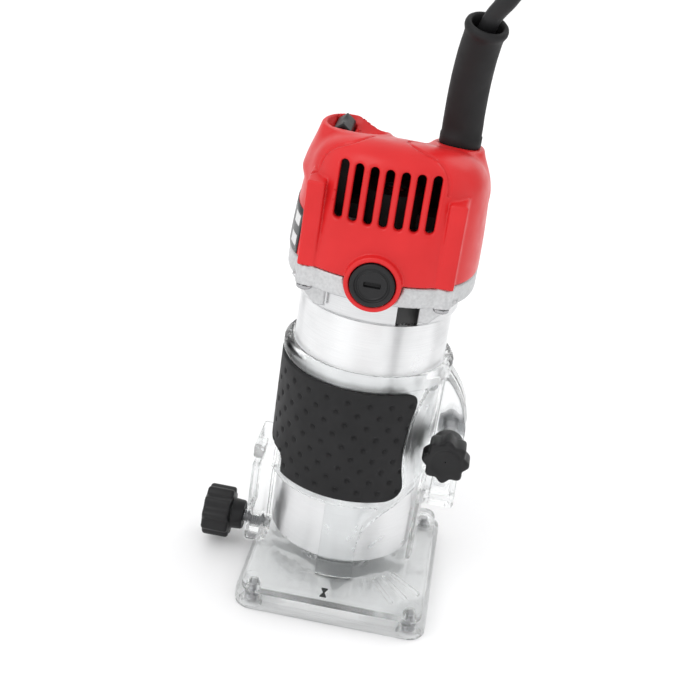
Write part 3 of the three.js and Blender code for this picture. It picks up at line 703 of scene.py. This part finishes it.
# ---- motor housing ----
def pocket_field(x, y, z):
    """The shallow recess in the front of the neck."""
    p = POCKET
    window = smooth_max(np.abs(x - p.x) - p.half, np.abs(z - p.z) - p.half_z, 0.4)
    return np.maximum(window, np.maximum(p.r - np.hypot(x, y), y))


def cast_field(x, y, z):
    """The cast neck and flange, with the lugs, gussets and pocket."""
    r = np.hypot(x, y)
    neck = smooth_max(r - 34.1, slab(z, 134.6, 149), 0.6)
    neck = smooth_max(neck, (r - 32.9 - 0.9 * (z - 134.8)) * 0.74, 0.3)
    n = FLANGE.n
    q = (np.abs((x - HEAD.x) / FLANGE.a) ** n + np.abs(y / FLANGE.b) ** n) ** (1 / n)
    flange = smooth_max((q - 1) * 38.4, slab(z, FLANGE.z0, FLANGE.z1), 0.9)
    d = smooth_min(neck, flange, 0.8)
    lug = cylinder(np.abs(x) - LUG.x, np.abs(y) - LUG.y, z, LUG.r, FLANGE.z0, FLANGE.z1, 0.7)
    d = smooth_min(d, lug, 1.6)
    slope = 0.74 * (np.abs(x) - 23.4) - 0.67 * (z - 138)
    web = smooth_max(slope, slab(z, 137.5, 149), 0.4)
    web = smooth_max(smooth_max(web, slab(np.abs(y), 23, 30.4), 0.5), 19 - np.abs(x), 0.4)
    d = smooth_min(d, web, 0.6)
    d = np.maximum(d, BARREL.bore - r)
    d = np.maximum(d, -(np.hypot(np.abs(x) - LUG.x, np.abs(y) - LUG.y) - 2.5))
    d = smooth_max(d, -pocket_field(x, y, z), 0.3)
    boss = cylinder(x, z - CAP.z, np.abs(y), CAP.boss + 0.35, 34.3, 60, 0.4)
    d = smooth_max(d, -boss, 0.4)
    return np.maximum(d, -cylinder(x, z - CAP.z, np.abs(y), CAP.bore, 20, 60, 0.2))


def make_housing(mats):
    b = BARREL
    profile = rounded_profile([
        (8.0, b.bottom), (16, b.bottom), (16.6, b.bottom + 0.8), (29.5, b.bottom + 0.8),
        (30, b.bottom), (b.r - 0.9, b.bottom), (b.r, b.bottom + 1.1),
        (b.r, b.top), (b.bore, b.top), (b.bore, b.floor + 3), (b.bore - 3, b.floor),
        (8.0, b.floor),
    ], 0.25, 2)
    verts, faces = turned(profile, 144)
    barrel = new_piece("motor_barrel", verts, faces, mats["barrel"], "motor", ("motor_housing",),
                       "housing_alloy")
    sharpen(barrel)
    points, faces = surface_net(cast_field, (-42, -48, 133), (44, 48, 158), 0.75)
    flange = new_piece("cast_flange", points, faces, mats["cast"], "motor", ("motor_housing",),
                       "housing_alloy")
    flange.data.materials.append(mats["neck"])
    # The near-black inner plastic here is painted shade for the neck's shallow recess.
    flange.data.materials.append(mats["inner"])
    mid = points[faces].mean(axis=1)
    x, y, z = mid.T
    bright = (z < 147.1) & (np.hypot(x, y) < 34.35)
    # Faces in the shallow recess take the near-black inner plastic: painted shade in the recess.
    pocket = pocket_field(x, y, z) < 0.2
    flange.data.polygons.foreach_set("material_index", np.where(pocket, 2, bright).astype(np.int32))


# ---- clear shoe ----
def window_curve(x):
    """Height of the right-hand window's upper edge."""
    heights = [11, 31, 37.5, 42.0, 46.4, 50.6, 57, 65, 78]
    return np.interp(x, [9, 10, 11.5, 14, 18, 23.4, 30, 36.7, 44], heights)


def border_field(x, y, z):
    """The raised edge beside the front grip, which runs on round the right-hand window."""
    r = np.hypot(x, y)
    beside = np.abs(np.hypot(x - GRIP.edge_x, z - GRIP.edge_z) - GRIP.edge_r + 2.7) - 2.1
    beside = np.maximum(beside, slab(z, 51, 106))
    above = np.maximum(np.abs((z - window_curve(x)) * 0.75 - 2.2) - 2.0, slab(x, 10.5, 27))
    band = smooth_max(np.minimum(beside, above), r - 37.8, 1.0)
    return np.maximum(band, np.maximum(34 - r, y + 9.5))


def plate_relief(x, y, z, edge):
    """The raised middle of the plate's top and the three ribs towards its right front corner."""
    top = SHOE.z1
    relief = smooth_max(edge + 3.2, slab(z, top - 1, top + 0.6), 0.3)
    for angle in np.radians([-41, -49, -57]):
        along = x * np.cos(angle) + y * np.sin(angle)
        across = y * np.cos(angle) - x * np.sin(angle)
        rib = np.maximum(np.maximum(np.abs(across) - 0.8, slab(along, 36, 54)), slab(z, top - 1, top + 2.0))
        relief = smooth_min(relief, rib, 0.5)
    return relief


def window_field(x, y, z):
    """The two openings in the front of the skirt."""
    left = np.maximum(np.abs(x + 19.2) - 13.2, np.abs(z - 30.2) - 18.9)
    right = np.maximum(np.maximum(9.9 - x, x - 41), np.maximum((z - window_curve(x)) * 0.75, 11.5 - z))
    d = np.minimum(left, right)
    return np.maximum(d, y + 9.5)


def screw_distance(x, y):
    """Distance from the axis of the nearest sole screw."""
    return np.hypot(np.abs(x - PLATE.x) - SOLE_SCREW.x, np.abs(y - PLATE.y) - SOLE_SCREW.y)


def shoe_field(x, y, z):
    """The clear sleeve on its plate, with rims, border, windows, guide boss and clamp ears."""
    r = np.hypot(x, y)
    s = SLEEVE
    d = smooth_max(r - s.r1, slab(z, SHOE.z1 - 1, 111.5), 0.5)
    rim = smooth_max(r - s.rim, slab(z, s.rim_z, 111), 0.9)
    top_rim = smooth_max(r - s.rim + 1.2, slab(z, 110, s.top), 0.9)
    band = smooth_max(r - s.rim, slab(z, 50.3, 53), 0.6)
    d = smooth_min(d, np.minimum(rim, top_rim), 0.5)
    d = smooth_min(d, band, 0.5)
    d = smooth_min(d, border_field(x, y, z), 0.5)
    d = smooth_max(d, -window_field(x, y, z), 0.6)
    edge = rounded_rect(x, y, PLATE.x, PLATE.y, PLATE.a - SHOE.inset, PLATE.b - SHOE.inset,
                        PLATE.r - SHOE.inset)
    flange = smooth_max(edge, slab(z, SHOE.z0, SHOE.z1), 0.8)
    d = smooth_min(d, flange, 1.4)
    d = smooth_min(d, plate_relief(x, y, z, edge), 0.3)
    d = smooth_min(d, boss_field(x, y, z), 1.0)
    d = smooth_min(d, ear_field(x, y, z), 1.4)
    pad = screw_distance(x, y)
    d = smooth_min(d, smooth_max(pad - 4.6, slab(z, 8, 12.2), 0.6), 0.6)
    d = smooth_max(d, -smooth_max(r - s.r0, SHOE.z1 - z, 0.3), 0.4)
    d = smooth_max(d, SHOE.hole - r, 0.4)
    slit = np.maximum(np.abs(y) - 1.3, np.maximum(30 - x, 38 - z))
    d = np.maximum(d, -slit)
    d = np.maximum(d, -np.maximum(pad - 2.3, z - 9.7))
    return np.maximum(d, -np.maximum(np.hypot(y - GUIDE.y, z - GUIDE.z) - 3.3, x + 20))


def boss_field(x, y, z):
    """The block on the left that the guide knob screws into."""
    g = GUIDE
    block = rounded_box(x, y, z, (-37.6, g.y, 35), (4.6, g.half, 25), 1.2)
    recess = rounded_box(x, y, z, (g.x, g.y - 5, 51.5), (4, 8, 2), 0.4)
    groove = rounded_box(x, y, z, (g.x, g.y, 35), (2.5, 5, 11), 0.5)
    return smooth_max(smooth_max(block, -recess, 0.5), -groove, 0.5)


def ear_field(x, y, z):
    """The pair of clamp ears on the right, as one block that the slit divides."""
    reach = [48.8, 48.6, 48, 47.4, 45, 42.4, 39.6, 35.4]
    outline = np.interp(z, [40, 42, 60, 82, 91.4, 96.8, 101, 106], reach)
    side = np.maximum((x - outline) * 0.85, 30 - x)
    block = smooth_max(smooth_max(side, slab(z, 42, 106), 2.0), np.abs(y) - CLAMP.ear, 0.8)
    pocket = rounded_box(x, np.abs(y), z, (41.5, CLAMP.ear, 53), (4.2, 3.6, 8), 0.8)
    block = smooth_max(block, -pocket, 0.5)
    return np.maximum(block, 3.4 - np.hypot(x - CLAMP.x, z - CLAMP.z))


def sole_field(x, y, z):
    """The clear plate under the shoe."""
    edge = rounded_rect(x, y, PLATE.x, PLATE.y, PLATE.a, PLATE.b, PLATE.r)
    d = smooth_max(edge, slab(z, 0, PLATE.z), 1.3)
    d = smooth_max(d, SHOE.hole - 1 - np.hypot(x, y), 0.6)
    pad = screw_distance(x, y)
    d = smooth_max(d, -np.maximum(pad - 3.9, z - 3), 0.3)
    return np.maximum(d, 2.2 - pad)


def make_shoe(mats):
    net_piece("clear_shoe", shoe_field, (-44, -52, 5.5), (51, 40, 114), 0.9, mats["clear"], "base",
              ("base_shoe",), "clear_plastic")
    net_piece("clear_sole", sole_field, (-41, -55, -1.5), (48, 42, 8.5), 0.9, mats["clear"], "base",
              ("sole_plate",), "clear_plastic")


def make_index_mark(mats):
    """Two small wedges tip to tip, which point out the middle of the plate's front edge."""
    top = SHOE.z1 + 0.6

    def field(x, y, z):
        along = np.abs(y + 46.0)
        wedge = smooth_max((np.abs(x) - 0.3 - 0.42 * along) * 0.92, along - 3.0, 0.2)
        return smooth_max(wedge, slab(z, top - 0.3, top + 0.35), 0.15)

    net_piece("index_mark", field, (-2.4, -49.8, 10.8), (2.4, -42.2, 12.6), 0.16, mats["label"], "base",
              ("centre_mark",), "black_plastic")


def grip_field(side):
    """The front (-1) or rear (1) grip, with staggered rows of small round dimples."""
    def field(x, y, z):
        r = np.hypot(x, y)
        edge = GRIP.edge_r - np.hypot(x - GRIP.edge_x, z - GRIP.edge_z)
        outline = smooth_max(slab(z, GRIP.z0, GRIP.z1), edge, 9.0)
        outline = smooth_max(outline, y - 11.8 if side < 0 else 15.2 - y, 0.6)
        d = smooth_max(slab(r, GRIP.r0, GRIP.r1), outline, 0.8)
        boss = rounded_box(x, y, z, (-38, GUIDE.y - 3, 35), (18, GUIDE.half + 3.7, 27), 3.5)
        d = smooth_max(d, -boss, 0.8)
        u = 36.9 * np.arctan2(y, -x) if side > 0 else 36.9 * np.arctan2(-y, -x)
        row = np.clip(np.round((z - 58) / 5.2), 0, 8)
        shift = 4.6 * (row % 2)
        col = np.round((u - shift) / 9.2)
        reach = np.sqrt((u - shift - 9.2 * col) ** 2 + (z - 58 - 5.2 * row) ** 2 + (r - 37.2) ** 2)
        return smooth_max(d, 1.25 - reach, 0.25)
    return field


def make_grips(mats):
    net_piece("grip_front", grip_field(-1), (-38.5, -38.5, 52), (38.5, 13, 107), 0.6, mats["rubber"], "base",
              ("front_grip",), "soft_grip")
    net_piece("grip_rear", grip_field(1), (-38.5, 14, 52), (38.5, 38.5, 107), 0.7, mats["rubber"], "base",
              ("rear_grip",), "soft_grip")


# ---- knobs ----
def lobed(profile, lobes, wave, segments=16):
    """A knob about Z from (radius, height, lobe depth 0..1) rows."""
    count = lobes * segments
    angles = np.linspace(0, 2 * np.pi, count, endpoint=False)
    swing = 0.5 + 0.5 * np.cos(lobes * angles)
    dip = wave * (1 - swing)
    rings = []
    for r, z, depth in profile:
        rr = np.maximum(r - dip * depth, 0.02)
        rings.append(np.stack([rr * np.cos(angles), rr * np.sin(angles), np.full(count, z)], axis=1))
    return loft(rings, closed=True)


def knob_profile(r, z0, z1, hub, hub_end, bore, dish):
    """Rows from the dished face, over the rim and down the hub, back through the bore."""
    step = 1 if z1 > z0 else -1
    rows = [(0.3, z0 + dish * step, 0), (r * 0.5, z0 + dish * step, 0), (r * 0.62, z0 + 0.35 * step, 0)]
    rows += [(r * 0.68, z0 + 0.05 * step, 0.1), (r * 0.86, z0, 0.55)]
    for a in np.linspace(0, math.pi / 2, 6):
        rows.append((r - 1.5 * (1 - math.sin(a)), z0 + 1.5 * (1 - math.cos(a)) * step, 1))
    for a in np.linspace(0, math.pi / 2, 6):
        rows.append((r - 1.3 * (1 - math.cos(a)), z1 - 1.3 * (1 - math.sin(a)) * step, 1))
    rows += [(hub + 1.2, z1, 0.2), (hub + 0.3, z1 + 0.3 * step, 0), (hub, z1 + 1.2 * step, 0)]
    rows += [(hub - 0.3, hub_end - 0.7 * step, 0), (hub - 0.8, hub_end, 0), (bore + 0.5, hub_end, 0)]
    rows += [(bore, hub_end - 0.5 * step, 0), (bore, z0 + 5 * step, 0), (0.3, z0 + 5 * step, 0)]
    return rows


def make_knobs(mats):
    verts, faces = lobed(knob_profile(GUIDE.r, -62.8, -50.5, 7.0, -44.8, 3.2, 0.9), 10, 1.5)
    verts = to_axis(verts, "x", (0, GUIDE.y, GUIDE.z))
    knob = new_piece("knob_guide", verts, faces, mats["black"], "guide_lock", ("guide_knob",),
                     "black_plastic")
    sharpen(knob, 50)
    verts, faces = lobed(knob_profile(CLAMP.r, -27.5, -17.5, 7.2, -9.2, 3.2, 1.1), 8, 1.7)
    verts = to_axis(verts, "y", (CLAMP.x, 0, CLAMP.z))
    knob = new_piece("knob_clamp", verts, faces, mats["black"], "clamp", ("clamp_knob",), "black_plastic")
    sharpen(knob, 50)


def threaded_rod(r, z0, z1, pitch=1.0, depth=0.45):
    """A rod with V-grooves round it for a thread, and chamfered ends."""
    profile = [(0.05, z0), (r - 0.7, z0), (r - 0.1, z0 + 0.6)]
    z = z0 + 0.8
    while z + pitch < z1 - 0.6:
        profile += [(r, z), (r - depth, z + pitch / 2)]
        z += pitch
    profile += [(r, z), (r - 0.7, z1), (0.05, z1)]
    return turned(profile, 32)


def make_screws(mats):
    verts, faces = threaded_rod(3.0, -55.4, -34.7)
    verts = to_axis(verts, "x", (0, GUIDE.y, GUIDE.z))
    new_piece("thread_guide", verts, faces, mats["steel"], "guide_lock", ("guide_screw",), "bright_steel",
              False)
    verts, faces = threaded_rod(3.0, -16.4, 21.4)
    verts = to_axis(verts, "y", (CLAMP.x, 0, CLAMP.z))
    new_piece("thread_clamp", verts, faces, mats["steel"], "clamp", ("clamp_screw",), "bright_steel", False)


def cross_screw(name, x, y, z, head_r, shank_r, length, mats, body, node, dome=0.9):
    """A pan-head screw whose head faces down, with a cross recess."""
    def field(px, py, pz):
        r = np.hypot(px, py)
        head = smooth_max(r - head_r, smooth_max(-pz - dome - 1.6 + 0.09 * r ** 2, pz, 0.3), 0.5)
        shank = smooth_max(r - shank_r, slab(pz, -0.5, length), 0.3)
        wave = 0.22 * np.cos(2 * np.pi * pz / 1.2)
        d = np.minimum(head, shank + np.where(pz > 1.0, 0.22 + wave, 0))
        ax, ay = np.abs(px), np.abs(py)
        arm = np.minimum(np.maximum(ax - 0.42, ay - 1.9), np.maximum(ay - 0.42, ax - 1.9))
        return smooth_max(d, -np.maximum(arm, pz + 1.1), 0.15)

    points, faces = surface_net(field, (-4, -4, -3.2), (4, 4, length + 0.6), 0.33)
    new_piece(name, points + np.array([x, y, z]), faces, mats["steel"], body, (node,), "bright_steel")


def make_fasteners(mats):
    spots = [(-1, -1), (1, -1), (-1, 1), (1, 1)]
    for i, (sx, sy) in enumerate(spots):
        cross_screw(f"flange_screw_{i + 1}", sx * LUG.x, sy * LUG.y, 147.2, 3.2, 2.1, 30, mats, "motor",
                    f"head_screw_{i + 1}")
        x, y = PLATE.x + sx * SOLE_SCREW.x, PLATE.y + sy * SOLE_SCREW.y
        cross_screw(f"plate_screw_{i + 1}", x, y, 2.8, 3.5, 1.9, 6.3, mats, "base", f"sole_screw_{i + 1}", 0.2)


# ---- brush caps ----
def make_caps(mats):
    for name, side, body in (("front", -1, "front_cap"), ("rear", 1, "rear_cap")):
        def field(x, y, z, side=side):
            w = side * y
            r = np.hypot(x, z - CAP.z)
            d = smooth_max(r - CAP.r, slab(w, 40.4, 46.9), 0.7)
            d = smooth_max(d, -smooth_max(r - 6.9, 46.1 - w, 0.4), 0.4)
            d = smooth_min(d, smooth_max(np.abs(r - 5.7) - 0.25, slab(w, 44, 46.45), 0.2), 0.3)
            slot = smooth_max(np.abs(x) - 3.3, np.abs(z - CAP.z) - 1.05, 0.4)
            return smooth_max(d, -np.maximum(slot, 44.2 - w), 0.25)
        low = (-10, min(side * 39.5, side * 48), 146)
        high = (10, max(side * 39.5, side * 48), 166.5)
        net_piece(f"cap_{name}", field, low, high, 0.35, mats["black"], body, (f"{name}_brush_cap",),
                  "black_plastic")


# ---- rocker ----
def make_rocker(mats):
    c, s = math.cos(math.radians(ROCKER.tilt)), math.sin(math.radians(ROCKER.tilt))

    def field(x, y, z):
        u, v, w = x - ROCKER.x, y - ROCKER.y, z - ROCKER.pivot
        v, w = c * v + s * w, -s * v + c * w
        roof = (w - 8.1 + 0.78 * np.abs(u)) * 0.79
        sides = smooth_max(np.abs(u) - 3.6, np.abs(v) - 7.0, 0.5)
        d = smooth_max(sides, smooth_max(roof, -w - 2.5, 0.4), 0.7)
        return smooth_max(d, 12 - np.hypot(v, w - 19.4), 0.4)

    net_piece("switch_lever", field, (-28, -15, 197), (-17, 6, 212), 0.4, mats["black"], "switch_rocker",
              ("rocker",), "black_plastic")


# ---- collet ----
def nut_field(x, y, z):
    """The collet nut: a bored hexagon with a cone towards the bit."""
    hexagon = np.maximum(np.abs(x), 0.5 * np.abs(x) + 0.866 * np.abs(y)) - NUT.across
    r = np.hypot(x, y)
    d = smooth_max(hexagon, slab(z, NUT.z0, NUT.z1), 0.4)
    d = smooth_max(d, r - 7.0 - 1.15 * (z - NUT.z0), 0.3)
    d = smooth_max(d, r - 10.2, 0.3)
    d = smooth_max(d, 4.95 - r, 0.2)
    return np.maximum(d, -np.maximum(r - 6.3, NUT.z0 + 3.6 - z))


def make_nut(mats):
    net_piece("hex_nut", nut_field, (-11.5, -11.5, 0), (11.5, 11.5, 14), 0.4, mats["dark"], "nut",
              ("collet_nut",), "dark_steel")


# ---- cord ----
# Centre line of the strain relief: x, y, z and radius. Its mouth leans forwards.
BOOT_PATH = (
    (22.8, 1, 203.4, 8.2), (22.8, 1, 204.2, 8.45), (22.8, 1, 207.6, 8.45), (22.78, 1, 208.2, 8.1),
    (22.7, 1, 212, 8.1), (22.6, 0.9, 216, 8.0), (22.6, 0.7, 220, 8.0), (22.65, 0.2, 225, 7.95),
    (22.8, -0.6, 230, 7.9),
    (23.1, -1.7, 235, 7.85), (23.5, -3.2, 240, 7.8), (24, -4.7, 244, 7.75), (24.4, -5.8, 246.8, 7.7),
    (24.7, -6.5, 248.6, 7.75), (24.85, -6.9, 249.6, 8.15), (25, -7.3, 250.6, 8.55), (25.15, -7.7, 251.6, 8.6),
    (25.3, -8.1, 252.5, 8.3), (25.4, -8.3, 253, 7.7), (25.42, -8.35, 253.1, 7.0), (25.35, -8.15, 252.6, 6.4),
    (25.1, -7.5, 251, 6.0), (24.7, -6.5, 248.5, 5.6), (24.2, -5.2, 245.5, 4.9), (23.9, -4.5, 243.8, 4.2),
)
CORD_POINTS = (
    (24.4, -5.9, 246.4), (25.7, -8.4, 252.6), (27, -10.3, 256.3), (29, -12, 259.8), (31.3, -13.2, 263.2),
    (37.7, -12.3, 275.3), (43.6, -5.1, 286.9), (47.4, 7.1, 294.5), (48.2, 21.7, 296.7), (46, 35.9, 293),
    (41.6, 46.1, 285), (37.2, 50.6, 272.6), (30.8, 53.8, 255.1), (28, 57.5, 247), (26.1, 61, 239.4),
    (24.8, 63.5, 231.9), (23.4, 65.5, 223.8), (22.3, 66.8, 210), (21.8, 67.5, 192.4), (21.8, 68, 168.6),
    (20.3, 68, 138.7), (16.9, 68, 107), (12.9, 68, 79.2), (14.4, 68, 54), (15.6, 68.1, 38), (16, 69.6, 26.4),
    (16.1, 76.4, 14.2), (16.2, 88.8, 6.6), (16.2, 103, 5.1), (16.2, 117, 5.2), (16.2, 131, 5.2),
)
# The folded length: runs between two folds, two side by side and two high.
HANK = Sizes(x=-12.0, near=131.0, far=223.0)
SLOTS = ((28.2, 5.2), (28.2, 12.3), (21.0, 12.3), (21.0, 5.2))
TIE = Sizes(z=8.1, y0=189.2, y1=195.8, outer=(33.4, 8.05, 3.0), inner=(32.1, 7.4, 2.4))
TAIL = (
    (-31.6, 213, 5.3), (-27.1, 205, 5.9), (-19.1, 195, 7.2), (-14.6, 187.5, 7.9), (-12.1, 181, 8.2),
    (-12, 174, 8.2),
)
PLUG = Sizes(x=-12.0, y=175.3, z=8.2)


def make_boot(mats):
    angles = np.linspace(0, 2 * np.pi, 56, endpoint=False)
    rings = []
    for x, y, z, r in BOOT_PATH:
        lean = np.clip((z - 214) / 39, 0, 1)
        normal = np.array([0.17 * lean, -0.36 * lean, 1.0])
        normal /= np.linalg.norm(normal)
        across = np.cross([0, 1, 0], normal)
        across /= np.linalg.norm(across)
        along = np.cross(normal, across)
        disc = np.outer(np.cos(angles), across) + np.outer(np.sin(angles), along)
        rings.append(np.array([x, y, z]) + r * disc)
    verts, faces = loft(rings)
    boot = new_piece("strain_relief", verts, faces, mats["rubber"], "motor", ("cord_boot",), "soft_grip")
    sharpen(boot, 60)


def ease(u):
    """Runs from 0 to 1 with an even bend each way."""
    u = np.clip(u, 0, 1)
    return np.where(u < 0.5, 2 * u ** 2, 1 - 2 * (1 - u) ** 2)


def hank_points():
    """The turns of the hank, out on the right and back on the left, where each changes place."""
    points = []
    last = len(SLOTS) - 1
    for k, (r, z) in enumerate(SLOTS):
        for y in np.arange(HANK.near + 9, HANK.far, 11):
            points.append((HANK.x + r, y, z))
        for a in np.linspace(0, np.pi, 9):
            points.append((HANK.x + r * math.cos(a), HANK.far + r * math.sin(a), z))
        if k == last:
            break
        to_r, to_z = SLOTS[k + 1]
        start = 30 - 9 * k
        for down in np.arange(6, 90, 6):
            t = float(ease((down - start) / 30))
            points.append((HANK.x - r - (to_r - r) * t, HANK.far - down, z + (to_z - z) * t))
        for a in np.linspace(np.pi, 2 * np.pi, 9):
            points.append((HANK.x + to_r * math.cos(a), HANK.near + to_r * math.sin(a), to_z))
    return points + list(TAIL)


def cord_mesh(line, radius, sides=16):
    """A round tube along a line, with rings that don't twist."""
    line = np.array(line)
    tangents = np.gradient(line, axis=0)
    tangents /= np.linalg.norm(tangents, axis=1)[:, None]
    side = np.cross(tangents[0], [1.0, 0, 0])
    angles = np.linspace(0, 2 * np.pi, sides, endpoint=False)
    rings = []
    for point, t in zip(line, tangents):
        side = side - t * (side @ t)
        side /= np.linalg.norm(side)
        up = np.cross(t, side)
        rings.append(point + radius * (np.outer(np.cos(angles), side) + np.outer(np.sin(angles), up)))
    return loft(rings)


def make_cord(mats):
    """The lead, and the hank, plug and strap that lie on the floor."""
    route = list(CORD_POINTS) + hank_points()
    line = smooth_line(route, 4)
    verts, faces = cord_mesh(line, CORD_D / 2)
    obj = new_object("mains_lead", verts, faces, mats["cord"])
    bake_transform(obj)
    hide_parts("cord_lead", "cord_hank", "cord_tail")
    plug = make_plug(mats)
    tie = make_tie(mats)


def make_plug(mats):
    """The plug's moulding, with a ridged neck where the cord enters."""
    def field(x, y, z):
        u, w, v = x - PLUG.x, PLUG.y - y, z - PLUG.z
        half = 12.6 - 0.012 * (w - 27) ** 2
        outline = (np.abs(u / half) ** 3 + np.abs(v / 7.2) ** 3) ** (1 / 3) * 7.2 - 7.2
        body = np.maximum(outline, slab(w, 15, 36))
        body = smooth_max(body, slab(w, 15.5, 35.8), 2.0)
        neck = smooth_max(np.hypot(u, v) - 4.6 - 0.02 * w, slab(w, 0.2, 22), 0.5)
        ridges = 0.35 * (np.cos(w * 2.1) > 0.2) * (w > 2) * (w < 13)
        d = smooth_min(body, neck + ridges, 3.0)
        return np.maximum(d, 3.6 - np.hypot(u, v) - np.maximum(w - 1.0, 0) * 4)

    return net_piece("plug_moulding", field, (-27, 137, -0.5), (3, 177, 17), 0.6, mats["black"], "base",
                     ("plug_body",), "black_plastic")


def make_tie(mats):
    """The strap round the hank."""
    def field(x, y, z):
        outer = rounded_rect(x, z, HANK.x, TIE.z, *TIE.outer)
        inner = rounded_rect(x, z, HANK.x, TIE.z, *TIE.inner)
        return smooth_max(np.maximum(outer, -inner), slab(y, TIE.y0, TIE.y1), 0.4)

    return net_piece("cord_strap", field, (-47, 187.5, -1), (23, 197.5, 17.4), 0.55, mats["black"], "base",
                     ("cord_tie",), "black_plastic")


def make_shade_sheet(mats):
    """A dark sheet inside the head behind the rear vents: painted shade that keeps the view through the slots
    dark.
    """
    verts, faces = [], []
    angles = np.radians(np.linspace(8, 172, 40))
    inner, outer, z0, z1 = SHADE_SHEET.inner, SHADE_SHEET.outer, SHADE_SHEET.z0, SHADE_SHEET.z1
    for r, z in ((outer, z0), (outer, z1), (inner, z1), (inner, z0)):
        for a in angles:
            verts.append((r * math.cos(a), r * math.sin(a) + SHADE_SHEET.y, z))
    n = len(angles)
    for k in range(4):
        m = (k + 1) % 4
        for i in range(n - 1):
            faces.append((k * n + i, k * n + i + 1, m * n + i + 1, m * n + i))
    faces += [(0, n, 2 * n, 3 * n), (n - 1, 2 * n - 1, 3 * n - 1, 4 * n - 1)]
    sharpen(new_piece("painted_shade_sheet", verts, faces, mats["inner"], "motor", (), "black_plastic"))


def build():
    make_camera()
    mats = make_materials()
    make_stage()
    make_head(mats)
    make_label(mats)
    make_housing(mats)
    make_shoe(mats)
    make_index_mark(mats)
    make_grips(mats)
    make_knobs(mats)
    make_screws(mats)
    make_fasteners(mats)
    make_caps(mats)
    make_rocker(mats)
    make_nut(mats)
    make_boot(mats)
    make_cord(mats)
    make_shade_sheet(mats)
    dress_nodes(mats)


build()
